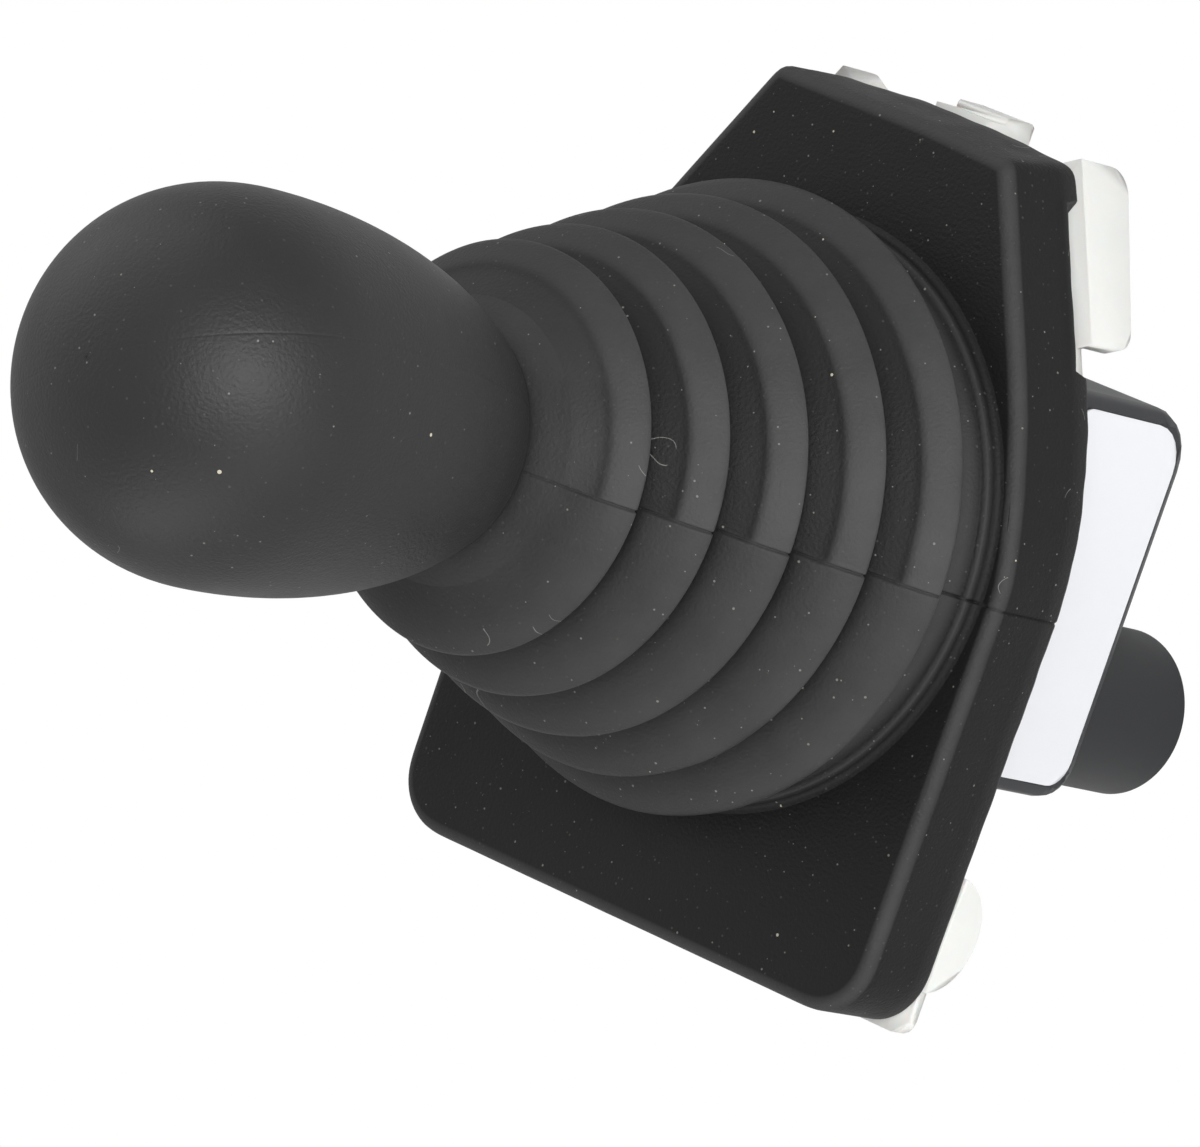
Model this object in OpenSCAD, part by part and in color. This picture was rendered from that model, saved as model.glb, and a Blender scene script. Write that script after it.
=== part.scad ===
// Two-axis panel joystick: soft egg knob, five-fold rubber bellows moulded in one with its
// flange cap, nylon base plate with locating tabs, and a sealed electronics housing below.
// Inside, a gimbal ring on two crossed axles carries the lever, with a torsion spring on each.
// Z is the lever's axis at rest. X points to the label side, Y to the narrow end of the flange.
// The origin is on the lever's axis, in the mounting face under the base plate.

/* [Flange cap] */
// Width across the long sides
flange_w = 78.4; // [76:0.4:84]
// Lever axis to the middle of the narrow end
flange_front = 52.4; // [51.4:0.2:56]
// How far the narrow end is bowed out between its corners
front_bow = 1; // [0.6:0.1:2]
// Lever axis to the wide end
flange_back = 52.2; // [50:0.2:56]
// Width of the narrow end
narrow_w = 39.6; // [36:0.4:44]
// Width of the wide end
wide_w = 77.2; // [74:0.4:78]
// Lever axis to where the long sides lean in
shoulder_y = 14.7; // [12:0.1:17]
// Corner radius at the narrow end
narrow_r = 3; // [1:0.5:6]
// Radius of the bowed narrow end
bow_r = 150; // [100:5:180]
// Radius of the shoulder, where the long sides lean in
shoulder_r = 60; // [30:1:70]
// Corner radius at the wide end
wide_r = 7.5; // [5:0.5:10]
// Height of the cap's flat top above the mounting face
cap_top = 14; // [13:0.5:18]
// Thickness of the cap's roof
cap_roof = 3; // [2:0.25:4]
// Thickness of the turned-down skirt
skirt_wall = 2.5; // [1.5:0.25:3.5]
// Height of the skirt's lower edge above the mounting face
skirt_edge = 2; // [1:0.25:4]
// Radius of the cap's top edge
cap_edge_r = 3; // [1:0.5:4]
// How far the skirt is cut up over the side tabs
skirt_notch = 2; // [0:0.25:3]

/* [Bellows] */
// Number of folds
folds = 5; // [4:1:6]
// Radius of the top fold's lip
lip_top_r = 24.3; // [23:0.1:27]
// Radius of the bottom fold's lip
lip_base_r = 38.1; // [37.5:0.1:40]
// Height of the top fold's lip
lip_top_z = 65.1; // [63:0.1:68]
// Height of the bottom fold's lip
lip_base_z = 24.1; // [22.5:0.1:26]
// How far each groove lies inside its lip
fold_depth = 5.5; // [4:0.1:7]
// How far each groove lies below its lip
fold_drop = 3.6; // [3:0.1:4.5]
// Rubber thickness, measured square to the lever
fold_wall = 2.4; // [1.5:0.1:3]
// Radius of the neck's mouth
neck_r = 12.6; // [12:0.1:14]
// Radius of the raised ring at the bellows' foot
foot_r = 37.4; // [36:0.1:38.5]

/* [Knob] */
// Largest radius of the knob
knob_r = 23; // [21:0.25:25]
// Height of the knob's widest section above the mounting face
knob_mid_z = 111.7; // [108:0.1:115]
// Widest section to the knob's top
knob_up = 23.3; // [20:0.1:26]
// Widest section to the knob's lower rim
knob_down = 37.6; // [35:0.1:40]
// Length of the ellipse that the knob narrows along
knob_taper = 47.4; // [46:0.1:60]
// Radius of the knob insert
insert_r = 7.5; // [6.5:0.25:9]
// Length of the knob insert
insert_l = 26; // [18:1:34]
// Depth of the grooves round the knob insert, and of the collar's
groove_d = 0.9; // [0.5:0.1:1.2]
// Grooves round the knob insert
insert_grooves = 4; // [2:1:4]
// Jam nut, across its corners
nut_corners = 18.4; // [16:0.2:19]
// Height of the jam nut
nut_h = 3; // [2:0.5:4]

/* [Lever and gimbal] */
// Height of both pivot axes above the mounting face
pivot_z = 19; // [18.5:0.1:20]
// Tilt each way about each axis, in degrees
tilt = 20; // [15:1:22]
// Radius of the lever shaft
shaft_r = 5; // [4:0.25:5.5]
// Radius of the lever's tail under the pivot
tail_r = 3.5; // [3:0.25:4]
// Lever axis to the lower end of the tail
tail_z = -7; // [-8:0.5:-6]
// Pivot block, side to side
block_x = 16; // [14:0.5:17]
// Pivot block, end to end
block_y = 18; // [15:0.5:18.5]
// Pivot block height
block_z = 14; // [12:0.5:16]
// Inner radius of the gimbal ring
ring_in_r = 15; // [14:0.25:15.5]
// Thickness of the gimbal ring
ring_t = 4; // [3:0.25:4.25]
// Height of the gimbal ring
ring_h = 9; // [8:0.5:10]
// Radius of the two ring pins and of the inner axle
axle_r = 2.5; // [2:0.1:2.8]
// Outer radius of the bearing bushes
bush_r = 4; // [3.6:0.1:4.4]
// Thickness of a bush's flange
bush_flange = 0.8; // [0.6:0.1:1]
// Lever axis to the inner face of the bearing posts
post_in = 24.5; // [24.3:0.1:25]
// Thickness of the bearing posts
post_t = 5; // [4:0.25:5]
// Half width of a bearing post
post_half = 6; // [5.5:0.25:7]
// Wire radius of the return springs
wire_r = 0.45; // [0.3:0.05:0.5]
// Turns of a return spring
spring_turns = 3.5; // [2.5:1:3.5]
// Radius of the stop sleeve on the tail
sleeve_r = 4.5; // [4.25:0.25:5]
// Length of the stop sleeve
sleeve_l = 10; // [8:0.5:11]
// Thickness of the gate plate that stops the lever
gate_t = 1.5; // [1:0.25:2]

/* [Base plate] */
// Thickness of the base plate's roof
roof_t = 3; // [2.5:0.25:4]
// Thickness of the base plate's rim
rim_t = 4.5; // [3:0.25:6]
// Radius of the opening that the gimbal swings in
well_r = 24; // [23.5:0.25:24.25]
// Thickness of the reinforcing ribs
rib_t = 2; // [1.5:0.25:3]
// Thickness of the locating tabs
tab_t = 2.2; // [1.6:0.1:3]
// Width of the snap hook at the narrow end
hook_w = 8; // [6:0.5:12]
// How far the snap hook hangs below the mounting face
hook_drop = 7.7; // [6:0.1:10]
// Height of the hook's catch, from its lower end
hook_catch = 5.5; // [3:0.25:6]
// How far the catch stands out from the flange's end
hook_out = 0.8; // [0.4:0.1:1.5]
// Width of the tabs on the leaning sides
side_tab_w = 22.5; // [14:0.5:25]
// How far the side tabs hang below the mounting face at their longer end
side_tab_drop = 7.7; // [5:0.1:10]
// How much less they hang at the other end
side_tab_slope = 1.4; // [0:0.1:3]
// How far the side tabs reach past the narrow end's corners
side_tab_past = 0.8; // [0:0.1:1]
// Radius of the round tabs near the wide end
round_tab_r = 7.3; // [6:0.1:8]
// Height of the round tabs' centre above the mounting face
round_tab_z = 2.8; // [1:0.1:4]
// Wide end to the middle of the round tabs
round_tab_back = 12.9; // [11:0.1:15]
// How far the corner lugs reach past the wide end
lug_past = 0.2; // [0:0.05:1]
// Length of the corner lugs
lug_l = 9; // [6:0.5:12]
// Mounting insert spacing across the flange
mount_x = 32; // [28:1:34]
// Mounting insert spacing along the flange
mount_y = 80; // [76:1:84]
// Thread hole radius of the mounting inserts
mount_hole_r = 2.1; // [1.6:0.1:2.6]
// Outer radius of the mounting inserts
mount_insert_r = 3.5; // [3:0.1:4]
// Length of the mounting inserts
mount_insert_l = 7; // [5:0.25:8]

/* [Housing] */
// Housing width, square to the label
housing_w = 50; // [48:0.5:54]
// Lever axis to the housing's end on the narrow side of the flange
housing_front = 26; // [25:0.25:27]
// Lever axis to the housing's end on the wide side of the flange
housing_back = 23.5; // [23:0.25:25]
// Housing depth below the mounting face
housing_d = 30.5; // [29:0.25:34]
// Wall thickness of the housing
housing_wall = 2.2; // [1.8:0.1:2.6]
// Rounding of the lower front corner
housing_front_r = 7; // [4:0.5:9]
// Rounding of the lower back corner
housing_back_r = 5; // [3:0.5:8]
// Small rounding round the label side
housing_edge_r = 1.6; // [1:0.1:2]
// How far the housing's seat on the base plate stands below the mounting face
seat_drop = 0.5; // [0.3:0.1:1]
// Thickness of the seal between housing and base plate
seal_t = 0.8; // [0.5:0.1:1.2]
// Width of the seal, inside the housing's outline
seal_w = 2; // [1.5:0.1:2.2]
// Radius of a housing screw's shank
screw_r = 1.5; // [1.25:0.05:1.6]
// Radius of a housing screw's head
screw_head_r = 2.8; // [2.5:0.1:3]
// Height of a housing screw's head
screw_head_h = 2.4; // [2:0.1:3]
// Radius of the housing's screw pillars
pillar_r = 3.6; // [3.3:0.1:4]
// Label height
label_h = 21; // [16:0.5:21.5]
// Label length
label_l = 46; // [40:0.5:46]
// Label thickness
label_t = 0.3; // [0.15:0.05:0.5]

/* [Sensor board] */
// Gap between the magnet and the sensor
magnet_gap = 3; // [2.5:0.25:4]
// Radius of the magnet
magnet_r = 3; // [2:0.25:3.2]
// Height of the magnet
magnet_h = 3; // [2:0.25:3.5]
// How far the magnet holder reaches up the lever's tail
holder_grip = 4; // [3:0.5:5]
// Outer radius of the magnet holder
holder_r = 4.4; // [4.2:0.1:5]
// Thickness of the circuit board
board_t = 1.6; // [1:0.1:2]
// Side of the square controller chips
chip_w = 6; // [4:0.5:7]
// Height of the controller chips
chip_h = 1.6; // [0.8:0.1:2]
// Middle of the board to the controller chips, towards the narrow end
chip_y = 11.5; // [10:0.5:12]
// Radius of the capacitor
cap_r = 3; // [2:0.25:3.5]
// Height of the capacitor
cap_h = 5; // [3:0.5:6]
// Small chips in the row
small_chips = 5; // [2:1:6]
// Side of the sensor chip
sensor_w = 5; // [4:0.5:7]
// Height of the sensor chip
sensor_h = 1.2; // [0.9:0.1:1.6]

/* [Connector] */
// Connector axis to the housing's label side
plug_side = 12.6; // [12.4:0.1:13.5]
// Connector axis to the housing's back
plug_back = 10.5; // [10.4:0.1:11.5]
// Outer radius of the connector shell
plug_r = 10.3; // [9.8:0.1:10.8]
// Wall thickness of the connector shell
plug_wall = 1.7; // [1.4:0.1:2.2]
// Length of the connector shell below the housing
plug_l = 20.5; // [18:0.5:24]
// Thickness of the connector shell's floor
plug_floor = 3; // [2.5:0.25:4]
// Radius of the spigot that passes through the housing
spigot_r = 6.8; // [6.5:0.1:7]
// Number of contacts round the connector, beside the middle one
contacts = 5; // [4:1:6]
// Radius of a contact pin
contact_r = 0.8; // [0.6:0.05:0.9]
// Height of the pad that the connector's nut seats on, inside the housing
nut_pad_h = 3; // [2.8:0.1:4]
// Radius of the circle that the contacts stand on
contact_circle_r = 4.4; // [4.2:0.1:4.6]
// Length of a contact inside the shell
contact_l = 11; // [8:0.5:12]

/* [Fits] */
// Radial clearance of a turning shaft
running_fit = 0.05; // [0.02:0.01:0.1]
// Radial clearance of a part that is pushed in
push_fit = 0.02; // [0.01:0.01:0.05]
// Clearance between moulded parts
mould_gap = 0.3; // [0.2:0.05:0.5]

/* [Hidden] */
$fn = 64;
tiny = 0.01;
cap_floor = cap_top - cap_roof;
plate_top = cap_floor;
roof_under = plate_top - roof_t;
ring_out_r = ring_in_r + ring_t;
post_out = post_in + post_t;
knob_rim_z = knob_mid_z - knob_down;
knob_top_z = knob_mid_z + knob_up;
knob_rim_r = knob_r * sqrt(1 - pow(knob_down / knob_taper, 2));
shaft_top = knob_rim_z + insert_l - 2;
holder_top = tail_z + holder_grip;
holder_low = tail_z - magnet_h - 0.5;
sleeve_low = holder_top + mould_gap;
sensor_top = holder_low - magnet_gap;
board_top = sensor_top - sensor_h;
board_low = board_top - board_t;
housing_l = housing_front + housing_back;
inner_x = housing_w / 2 - housing_wall;
inner_front = housing_front - housing_wall;
inner_back = housing_back - housing_wall;
inner_l = inner_front + inner_back;
pillar_x = inner_x - pillar_r + 0.6;
pillar_front = inner_front - pillar_r + 0.6;
pillar_back = -inner_back + pillar_r - 0.6;
// Three corners have a screw pillar; the connector takes the fourth.
pillars = [[-pillar_x, pillar_front], [pillar_x, pillar_front], [-pillar_x, pillar_back]];
housing_floor = -housing_d + housing_wall;
frame_wall = 3;
plug_x = housing_w / 2 - plug_side;
plug_y = plug_back - housing_back;
gate_arm = pivot_z + seat_drop + seal_t + gate_t;
gate_half = gate_arm * tan(tilt) / cos(tilt) + sleeve_r / cos(tilt) + 0.6;

// Flange outline: symmetric about the plane x = 0, points in turn anticlockwise.
corner_y = flange_front - front_bow;
bow_peak = bow_r * (1 / cos(atan(front_bow / (narrow_w / 2))) - 1);
flange_points = [[narrow_w / 2, corner_y], [0, flange_front + bow_peak], [-narrow_w / 2, corner_y],
    [-flange_w / 2, shoulder_y], [-wide_w / 2, -flange_back], [wide_w / 2, -flange_back],
    [flange_w / 2, shoulder_y]];
flange_radii = [narrow_r, bow_r, narrow_r, shoulder_r, wide_r, wide_r, shoulder_r];
side_run = [flange_w / 2 - narrow_w / 2, corner_y - shoulder_y];
lean = atan2(side_run.x, side_run.y);

function unit(v) = v / norm(v);
function rounded(points, radii, steps = 6) = let (n = len(points)) [for (i = [0:n - 1])
    each arc_at(points[(i + n - 1) % n], points[i], points[(i + 1) % n], radii[i], steps)];
function arc_at(before, at, after, r, steps) = let (u = unit(before - at), v = unit(after - at),
    half = acos(u * v) / 2, c = at + unit(u + v) * r / sin(half),
    s = at + u * r / tan(half) - c, e = at + v * r / tan(half) - c,
    from = atan2(s.y, s.x), turn = (atan2(e.y, e.x) - from + 900) % 360 - 180)
    [for (k = [0:steps]) c + r * [cos(from + turn * k / steps), sin(from + turn * k / steps)]];
function inset_points(points, d) = let (n = len(points)) [for (i = [0:n - 1])
    let (u = unit(points[(i + n - 1) % n] - points[i]), v = unit(points[(i + 1) % n] - points[i]))
    points[i] + (u + v) * d / sin(acos(u * v))];
function outline(d) = rounded(inset_points(flange_points, d), [for (r = flange_radii) max(r - d, 1)]);

// One fold's points from its lip down to its groove, outside surface.
function lip_r(i) = lip_top_r + (lip_base_r - lip_top_r) * i / (folds - 1);
function lip_z(i) = lip_top_z + (lip_base_z - lip_top_z) * i / (folds - 1);
function groove_r(i) = lip_r(i) - fold_depth;
function groove_z(i) = lip_z(i) - fold_drop;
function fold(i) = [[lip_r(i) - 2.6, lip_z(i) + 1.6], [lip_r(i) - 1, lip_z(i) + 0.8],
    [lip_r(i) - 0.2, lip_z(i) + 0.25], [lip_r(i), lip_z(i) - 0.1], [lip_r(i) - 0.5, lip_z(i) - 0.6],
    [groove_r(i) + 0.8, groove_z(i) + 0.6], [groove_r(i), groove_z(i) - 0.1],
    [groove_r(i) + 0.7, groove_z(i) - 0.9]];
function knob_radius(z) = z > knob_mid_z
    ? knob_r * sqrt(max(0, 1 - pow((z - knob_mid_z) / knob_up, 2.2)))
    : knob_r * sqrt(1 - pow((knob_mid_z - z) / knob_taper, 2));

// A prism whose section is drawn in the plane of Y and Z, centred on x = 0.
module prism_x(length) translate([-length / 2, 0, 0]) rotate([90, 0, 90])
    linear_extrude(length) children();
module rod_y(r, length) rotate([90, 0, 0]) cylinder(r = r, h = length, center = true);
module rod_x(r, length) rotate([0, 90, 0]) cylinder(r = r, h = length, center = true);
module tube(r_out, r_in, h) difference() {
    cylinder(r = r_out, h = h);
    translate([0, 0, -tiny]) cylinder(r = r_in, h = h + 2 * tiny);
}
module both_x() for (s = [0, 1]) mirror([s, 0, 0]) children();
module both_y() for (s = [0, 1]) mirror([0, s, 0]) children();

// Soft knob: a tall half ellipse below the widest section, a blunt one above.
module knob() color([0.17, 0.17, 0.17]) {
    up = [for (a = [4:6:88]) let (z = knob_mid_z + knob_up * sin(a)) [knob_radius(z), z]];
    down = [for (k = [0:10]) let (z = knob_rim_z + 1.6 + (knob_down - 1.6) * k / 10) [knob_radius(z), z]];
    rim_lip = [[knob_rim_r - 1.8, knob_rim_z], [knob_rim_r - 0.5, knob_rim_z + 0.4]];
    difference() {
        rotate_extrude() polygon(concat([[0, knob_rim_z]], rim_lip, down, up, [[0, knob_top_z]]));
        translate([0, 0, knob_rim_z - tiny]) cylinder(r = insert_r, h = insert_l + tiny);
    }
}

// Brass insert that the knob is moulded on, grooved so that it can't pull out.
insert_floor = 1.5;
groove_pitch = insert_l / (insert_grooves + 1);
module knob_insert() color([0.8, 0.68, 0.4]) difference() {
    translate([0, 0, knob_rim_z]) cylinder(r = insert_r - push_fit, h = insert_l - push_fit);
    translate([0, 0, knob_rim_z - tiny]) cylinder(r = shaft_r + push_fit, h = insert_l - insert_floor);
    for (k = [1:insert_grooves]) translate([0, 0, knob_rim_z + k * groove_pitch - groove_d])
        tube(insert_r + 1, insert_r - groove_d, 1.5 * groove_d);
}

// Hexagon nut that locks the knob against the collar, with its lower corners chamfered.
nut_z = knob_rim_z - nut_h;
module jam_nut() color([0.72, 0.72, 0.7]) difference() {
    intersection() {
        translate([0, 0, nut_z]) cylinder(r = nut_corners / 2, h = nut_h, $fn = 6);
        translate([0, 0, nut_z]) cylinder(r1 = nut_corners / 2 - 0.8, r2 = nut_corners / 2 + 1.2, h = nut_h);
    }
    translate([0, 0, nut_z - tiny]) cylinder(r = shaft_r + push_fit, h = nut_h + 2 * tiny);
}

block_top = pivot_z + block_z / 2;
block_low = pivot_z - block_z / 2;
module lever_shaft() color([0.75, 0.75, 0.74]) difference() {
    rotate_extrude() polygon([[0, tail_z], [tail_r, tail_z], [tail_r, block_low], [shaft_r, block_low],
        [shaft_r, shaft_top - 1], [shaft_r - 1, shaft_top], [0, shaft_top]]);
    translate([0, 0, pivot_z]) rod_y(axle_r + push_fit, 3 * shaft_r);
}

// Height of the neck's mouth, just under the knob's rim.
neck_top = knob_rim_z - mould_gap;
// Collar that the bellows' neck grips, with a groove for the neck's bead.
collar_top = nut_z;
collar_h = 8;
collar_r = neck_r - fold_wall - 0.1;
module neck_collar() color([0.2, 0.2, 0.2]) difference() {
    rotate_extrude() polygon([
        [shaft_r + push_fit, collar_top - collar_h], [collar_r - 1, collar_top - collar_h],
        [collar_r, collar_top - collar_h + 1], [collar_r, collar_top], [shaft_r + push_fit, collar_top]]);
    translate([0, 0, collar_top - collar_h / 2]) tube(collar_r + 1, collar_r - groove_d, 1.5);
}

module pivot_block() color([0.78, 0.79, 0.8]) difference() {
    translate([0, 0, pivot_z]) intersection() {
        cube([block_x, block_y, block_z], center = true);
        rotate([90, 0, 0]) cylinder(r = norm([block_x, block_z]) / 2 - 1.2, h = block_y, center = true);
    }
    translate([0, 0, pivot_z]) rod_y(axle_r + push_fit, 2 * block_y);
    translate([0, 0, block_low - tiny]) cylinder(r = shaft_r + push_fit, h = block_z + 2 * tiny);
}

clip_gap = 0.5;
clip_t = 0.8;
axle_l = 2 * (ring_out_r + clip_gap + clip_t + 1);
clip_y = ring_out_r + clip_gap;
module inner_axle() color([0.7, 0.71, 0.72]) translate([0, 0, pivot_z]) difference() {
    rod_y(axle_r, axle_l);
    both_y() translate([0, clip_y + clip_t / 2, 0]) rotate([90, 0, 0])
        difference() {
            cylinder(r = axle_r + 1, h = clip_t, center = true);
            cylinder(r = axle_r - 0.4, h = 2 * clip_t, center = true);
        }
}

module axle_clips() color([0.35, 0.35, 0.37]) translate([0, 0, pivot_z]) both_y()
    translate([0, clip_y + clip_t / 2, 0]) rotate([90, 0, 0]) difference() {
        cylinder(r = axle_r + 1.6, h = clip_t - 2 * push_fit, center = true);
        cylinder(r = axle_r - 0.4 + push_fit, h = 2 * clip_t, center = true);
        translate([0, -axle_r - 1, 0]) cube([2.4, 2 * axle_r, 2 * clip_t], center = true);
    }

module stop_sleeve() color([0.9, 0.9, 0.88]) translate([0, 0, sleeve_low])
    tube(sleeve_r, tail_r + push_fit, sleeve_l);

module magnet_holder() color([0.12, 0.12, 0.13]) difference() {
    translate([0, 0, holder_low]) cylinder(r = holder_r, h = holder_top - holder_low);
    translate([0, 0, tail_z - push_fit]) cylinder(r = tail_r + push_fit, h = holder_top - tail_z + 1);
    translate([0, 0, holder_low - tiny]) cylinder(r = magnet_r + push_fit, h = magnet_h + tiny);
}

module magnet() color([0.6, 0.61, 0.63]) translate([0, 0, holder_low])
    cylinder(r = magnet_r, h = magnet_h - push_fit);

// Ring with a flat pad at each of its four bores.
module gimbal_ring() color([0.62, 0.63, 0.65]) translate([0, 0, pivot_z]) difference() {
    intersection() {
        translate([0, 0, -ring_h / 2]) tube(ring_out_r, ring_in_r, ring_h);
        cube([2 * ring_out_r - 0.6, 2 * ring_out_r - 0.6, ring_h + 1], center = true);
    }
    rod_x(axle_r + push_fit, 4 * ring_out_r);
    rod_y(axle_r + running_fit, 4 * ring_out_r);
    for (a = [45:90:315]) rotate([0, 0, a]) translate([ring_in_r + ring_t / 2, 0, 0])
        cube([2 * ring_t, 6, ring_h - 5], center = true);
}

pin_in = ring_in_r + 0.2;
pin_out = post_out - 0.5;
module ring_pins() color([0.7, 0.71, 0.72]) translate([0, 0, pivot_z]) both_x()
    translate([(pin_in + pin_out) / 2, 0, 0]) rod_x(axle_r, pin_out - pin_in);

// Torsion spring along +Z: a coil with two straight tangential legs.
module coil_spring(inner_r, length, leg) {
    mean_r = inner_r + wire_r;
    turn_steps = 16;
    steps = floor(spring_turns * turn_steps);
    sides = 6;
    function place(i) = let (a = 360 * i / turn_steps)
        [mean_r * cos(a), mean_r * sin(a), wire_r + (length - 2 * wire_r) * i / steps];
    function ring(i) = let (a = 360 * i / turn_steps)
        [for (k = [0:sides - 1]) let (b = 360 * k / sides)
            place(i) + wire_r * (cos(b) * [cos(a), sin(a), 0] + sin(b) * [0, 0, 1])];
    function leg_ring(i, away) = let (a = 360 * i / turn_steps)
        [for (p = ring(i)) p + away * [-sin(a), cos(a), 0]];
    rings = concat([leg_ring(0, -leg)], [for (i = [0:steps]) ring(i)], [leg_ring(steps, leg)]);
    n = len(rings);
    points = [for (r = rings) each r];
    sleeve = [for (i = [0:n - 2], k = [0:sides - 1]) let (j = (k + 1) % sides)
        [i * sides + k, i * sides + j, (i + 1) * sides + j, (i + 1) * sides + k]];
    ends = [[for (k = [sides - 1:-1:0]) k], [for (k = [0:sides - 1]) (n - 1) * sides + k]];
    polyhedron(points, [for (f = concat(sleeve, ends)) [for (k = [len(f) - 1:-1:0]) f[k]]], convexity = 6);
}

spring_in_r = axle_r + mould_gap;
roll_room = ring_in_r - block_y / 2;
module roll_spring() color([0.55, 0.56, 0.58]) translate([0, block_y / 2 + 0.3, pivot_z])
    rotate([-90, 0, 0]) coil_spring(spring_in_r, roll_room - 0.9, 5);

pitch_room = post_in - bush_flange - ring_out_r;
module pitch_spring() color([0.55, 0.56, 0.58]) translate([ring_out_r + 0.3, 0, pivot_z])
    rotate([0, 90, 0]) coil_spring(spring_in_r, pitch_room - 0.6, 4);

module bearing_bushes() color([0.82, 0.7, 0.45]) translate([0, 0, pivot_z]) both_x()
    translate([post_in, 0, 0]) rotate([0, 90, 0]) difference() {
        union() {
            cylinder(r = bush_r - push_fit, h = post_t);
            translate([0, 0, -bush_flange]) cylinder(r = bush_r + 1.1, h = bush_flange);
        }
        translate([0, 0, -1 - bush_flange]) cylinder(r = axle_r + running_fit, h = post_t + 2 + bush_flange);
    }

// Flange cap and bellows, moulded in one.
module bellows() color([0.15, 0.15, 0.16]) {
    neck = [[neck_r, neck_top], [neck_r + 0.4, neck_top - 0.5], [neck_r + 1.2, neck_top - 2.2],
        [(neck_r + lip_top_r) / 2, (neck_top + lip_top_z) / 2 + 0.6]];
    outside = concat(neck, [for (i = [0:folds - 1]) each fold(i)],
        [[foot_r - 1.2, cap_top + 2.6], [foot_r, cap_top + 1.9], [foot_r + 0.3, cap_top]]);
    inside = [for (k = [len(outside) - 1:-1:0]) outside[k] - [fold_wall, 0]];
    difference() {
        hull() {
            translate([0, 0, skirt_edge]) linear_extrude(cap_top - cap_edge_r - skirt_edge)
                polygon(outline(0));
            translate([0, 0, cap_top - cap_edge_r]) linear_extrude(cap_edge_r * 0.7)
                polygon(outline(cap_edge_r * 0.3));
            translate([0, 0, cap_top - 1]) linear_extrude(1) polygon(outline(cap_edge_r));
        }
        translate([0, 0, skirt_edge - 1]) linear_extrude(cap_floor - skirt_edge + 1)
            polygon(outline(skirt_wall));
        translate([0, 0, cap_floor - 1]) cylinder(r = foot_r - fold_wall, h = cap_roof + 2);
        both_x() side_frame() translate([-side_tab_w / 2 - 1, -skirt_wall - 1, skirt_edge - 1])
            cube([side_tab_w + 2, 2 * skirt_wall + 2, skirt_notch + 1]);
    }
    rotate_extrude() polygon(concat(outside, [[foot_r + 0.3, cap_floor], [foot_r - fold_wall, cap_floor]],
        inside));
}

// Places its children at the middle of a leaning side: X along it, Y outwards.
side_mid = [(narrow_w + flange_w) / 4, (corner_y + shoulder_y) / 2];
side_shift = norm(side_run) / 2 - side_tab_w / 2 + side_tab_past;
module side_frame() translate([side_mid.x, side_mid.y, 0]) rotate([0, 0, lean - 90])
    translate([-side_shift, 0, 0]) children();

// Where a tab joins the rim under the skirt: X along the edge, Y outwards. Its underside is
// lifted off the mounting face, so that a panel slotted for the tabs still lies flat.
root_lift = 0.4;
module tab_root(width, inset = 0) translate([-width / 2, -skirt_wall - 2, root_lift])
    cube([width, skirt_wall + 2 - inset, plate_under - root_lift]);

// A tab on a leaning side, flush with the skirt, its lower corners rounded.
side_tab_r = 3;
module side_tab() {
    half = side_tab_w / 2;
    rotate([90, 0, 0]) linear_extrude(tab_t) polygon(rounded([[-half, -side_tab_drop],
        [half, side_tab_slope - side_tab_drop], [half, plate_under], [-half, plate_under]],
        [side_tab_r, side_tab_r, 0.2, 0.2], 8));
    tab_root(side_tab_w);
}

// A round tab, a disc cut off under the skirt and just inside its face.
round_tab_in = 0.4;
round_root_w = 2 * sqrt(pow(round_tab_r, 2) - pow(round_tab_z, 2));
module round_tab() {
    intersection() {
        translate([0, -round_tab_in, round_tab_z]) rotate([90, 0, 0]) cylinder(r = round_tab_r, h = tab_t);
        translate([-round_tab_r, -tab_t - 1, -round_tab_r])
            cube([2 * round_tab_r, tab_t + 1, round_tab_r + plate_under]);
    }
    tab_root(round_root_w, round_tab_in);
}

// The snap hook at the narrow end: a leg with a catch that grips under the panel.
module snap_hook() {
    leg_out = 0.2;
    translate([-hook_w / 2, 0, 0]) rotate([90, 0, 90]) linear_extrude(hook_w) polygon([
        [-leg_out - tab_t, plate_under], [-leg_out - tab_t, -hook_drop], [hook_out - 0.4, -hook_drop],
        [hook_out, 0.6 - hook_drop], [hook_out, hook_catch - hook_drop - 0.3],
        [hook_out - 0.3, hook_catch - hook_drop], [-leg_out, hook_catch - hook_drop],
        [-leg_out, plate_under]]);
    tab_root(hook_w, leg_out);
}

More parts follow.
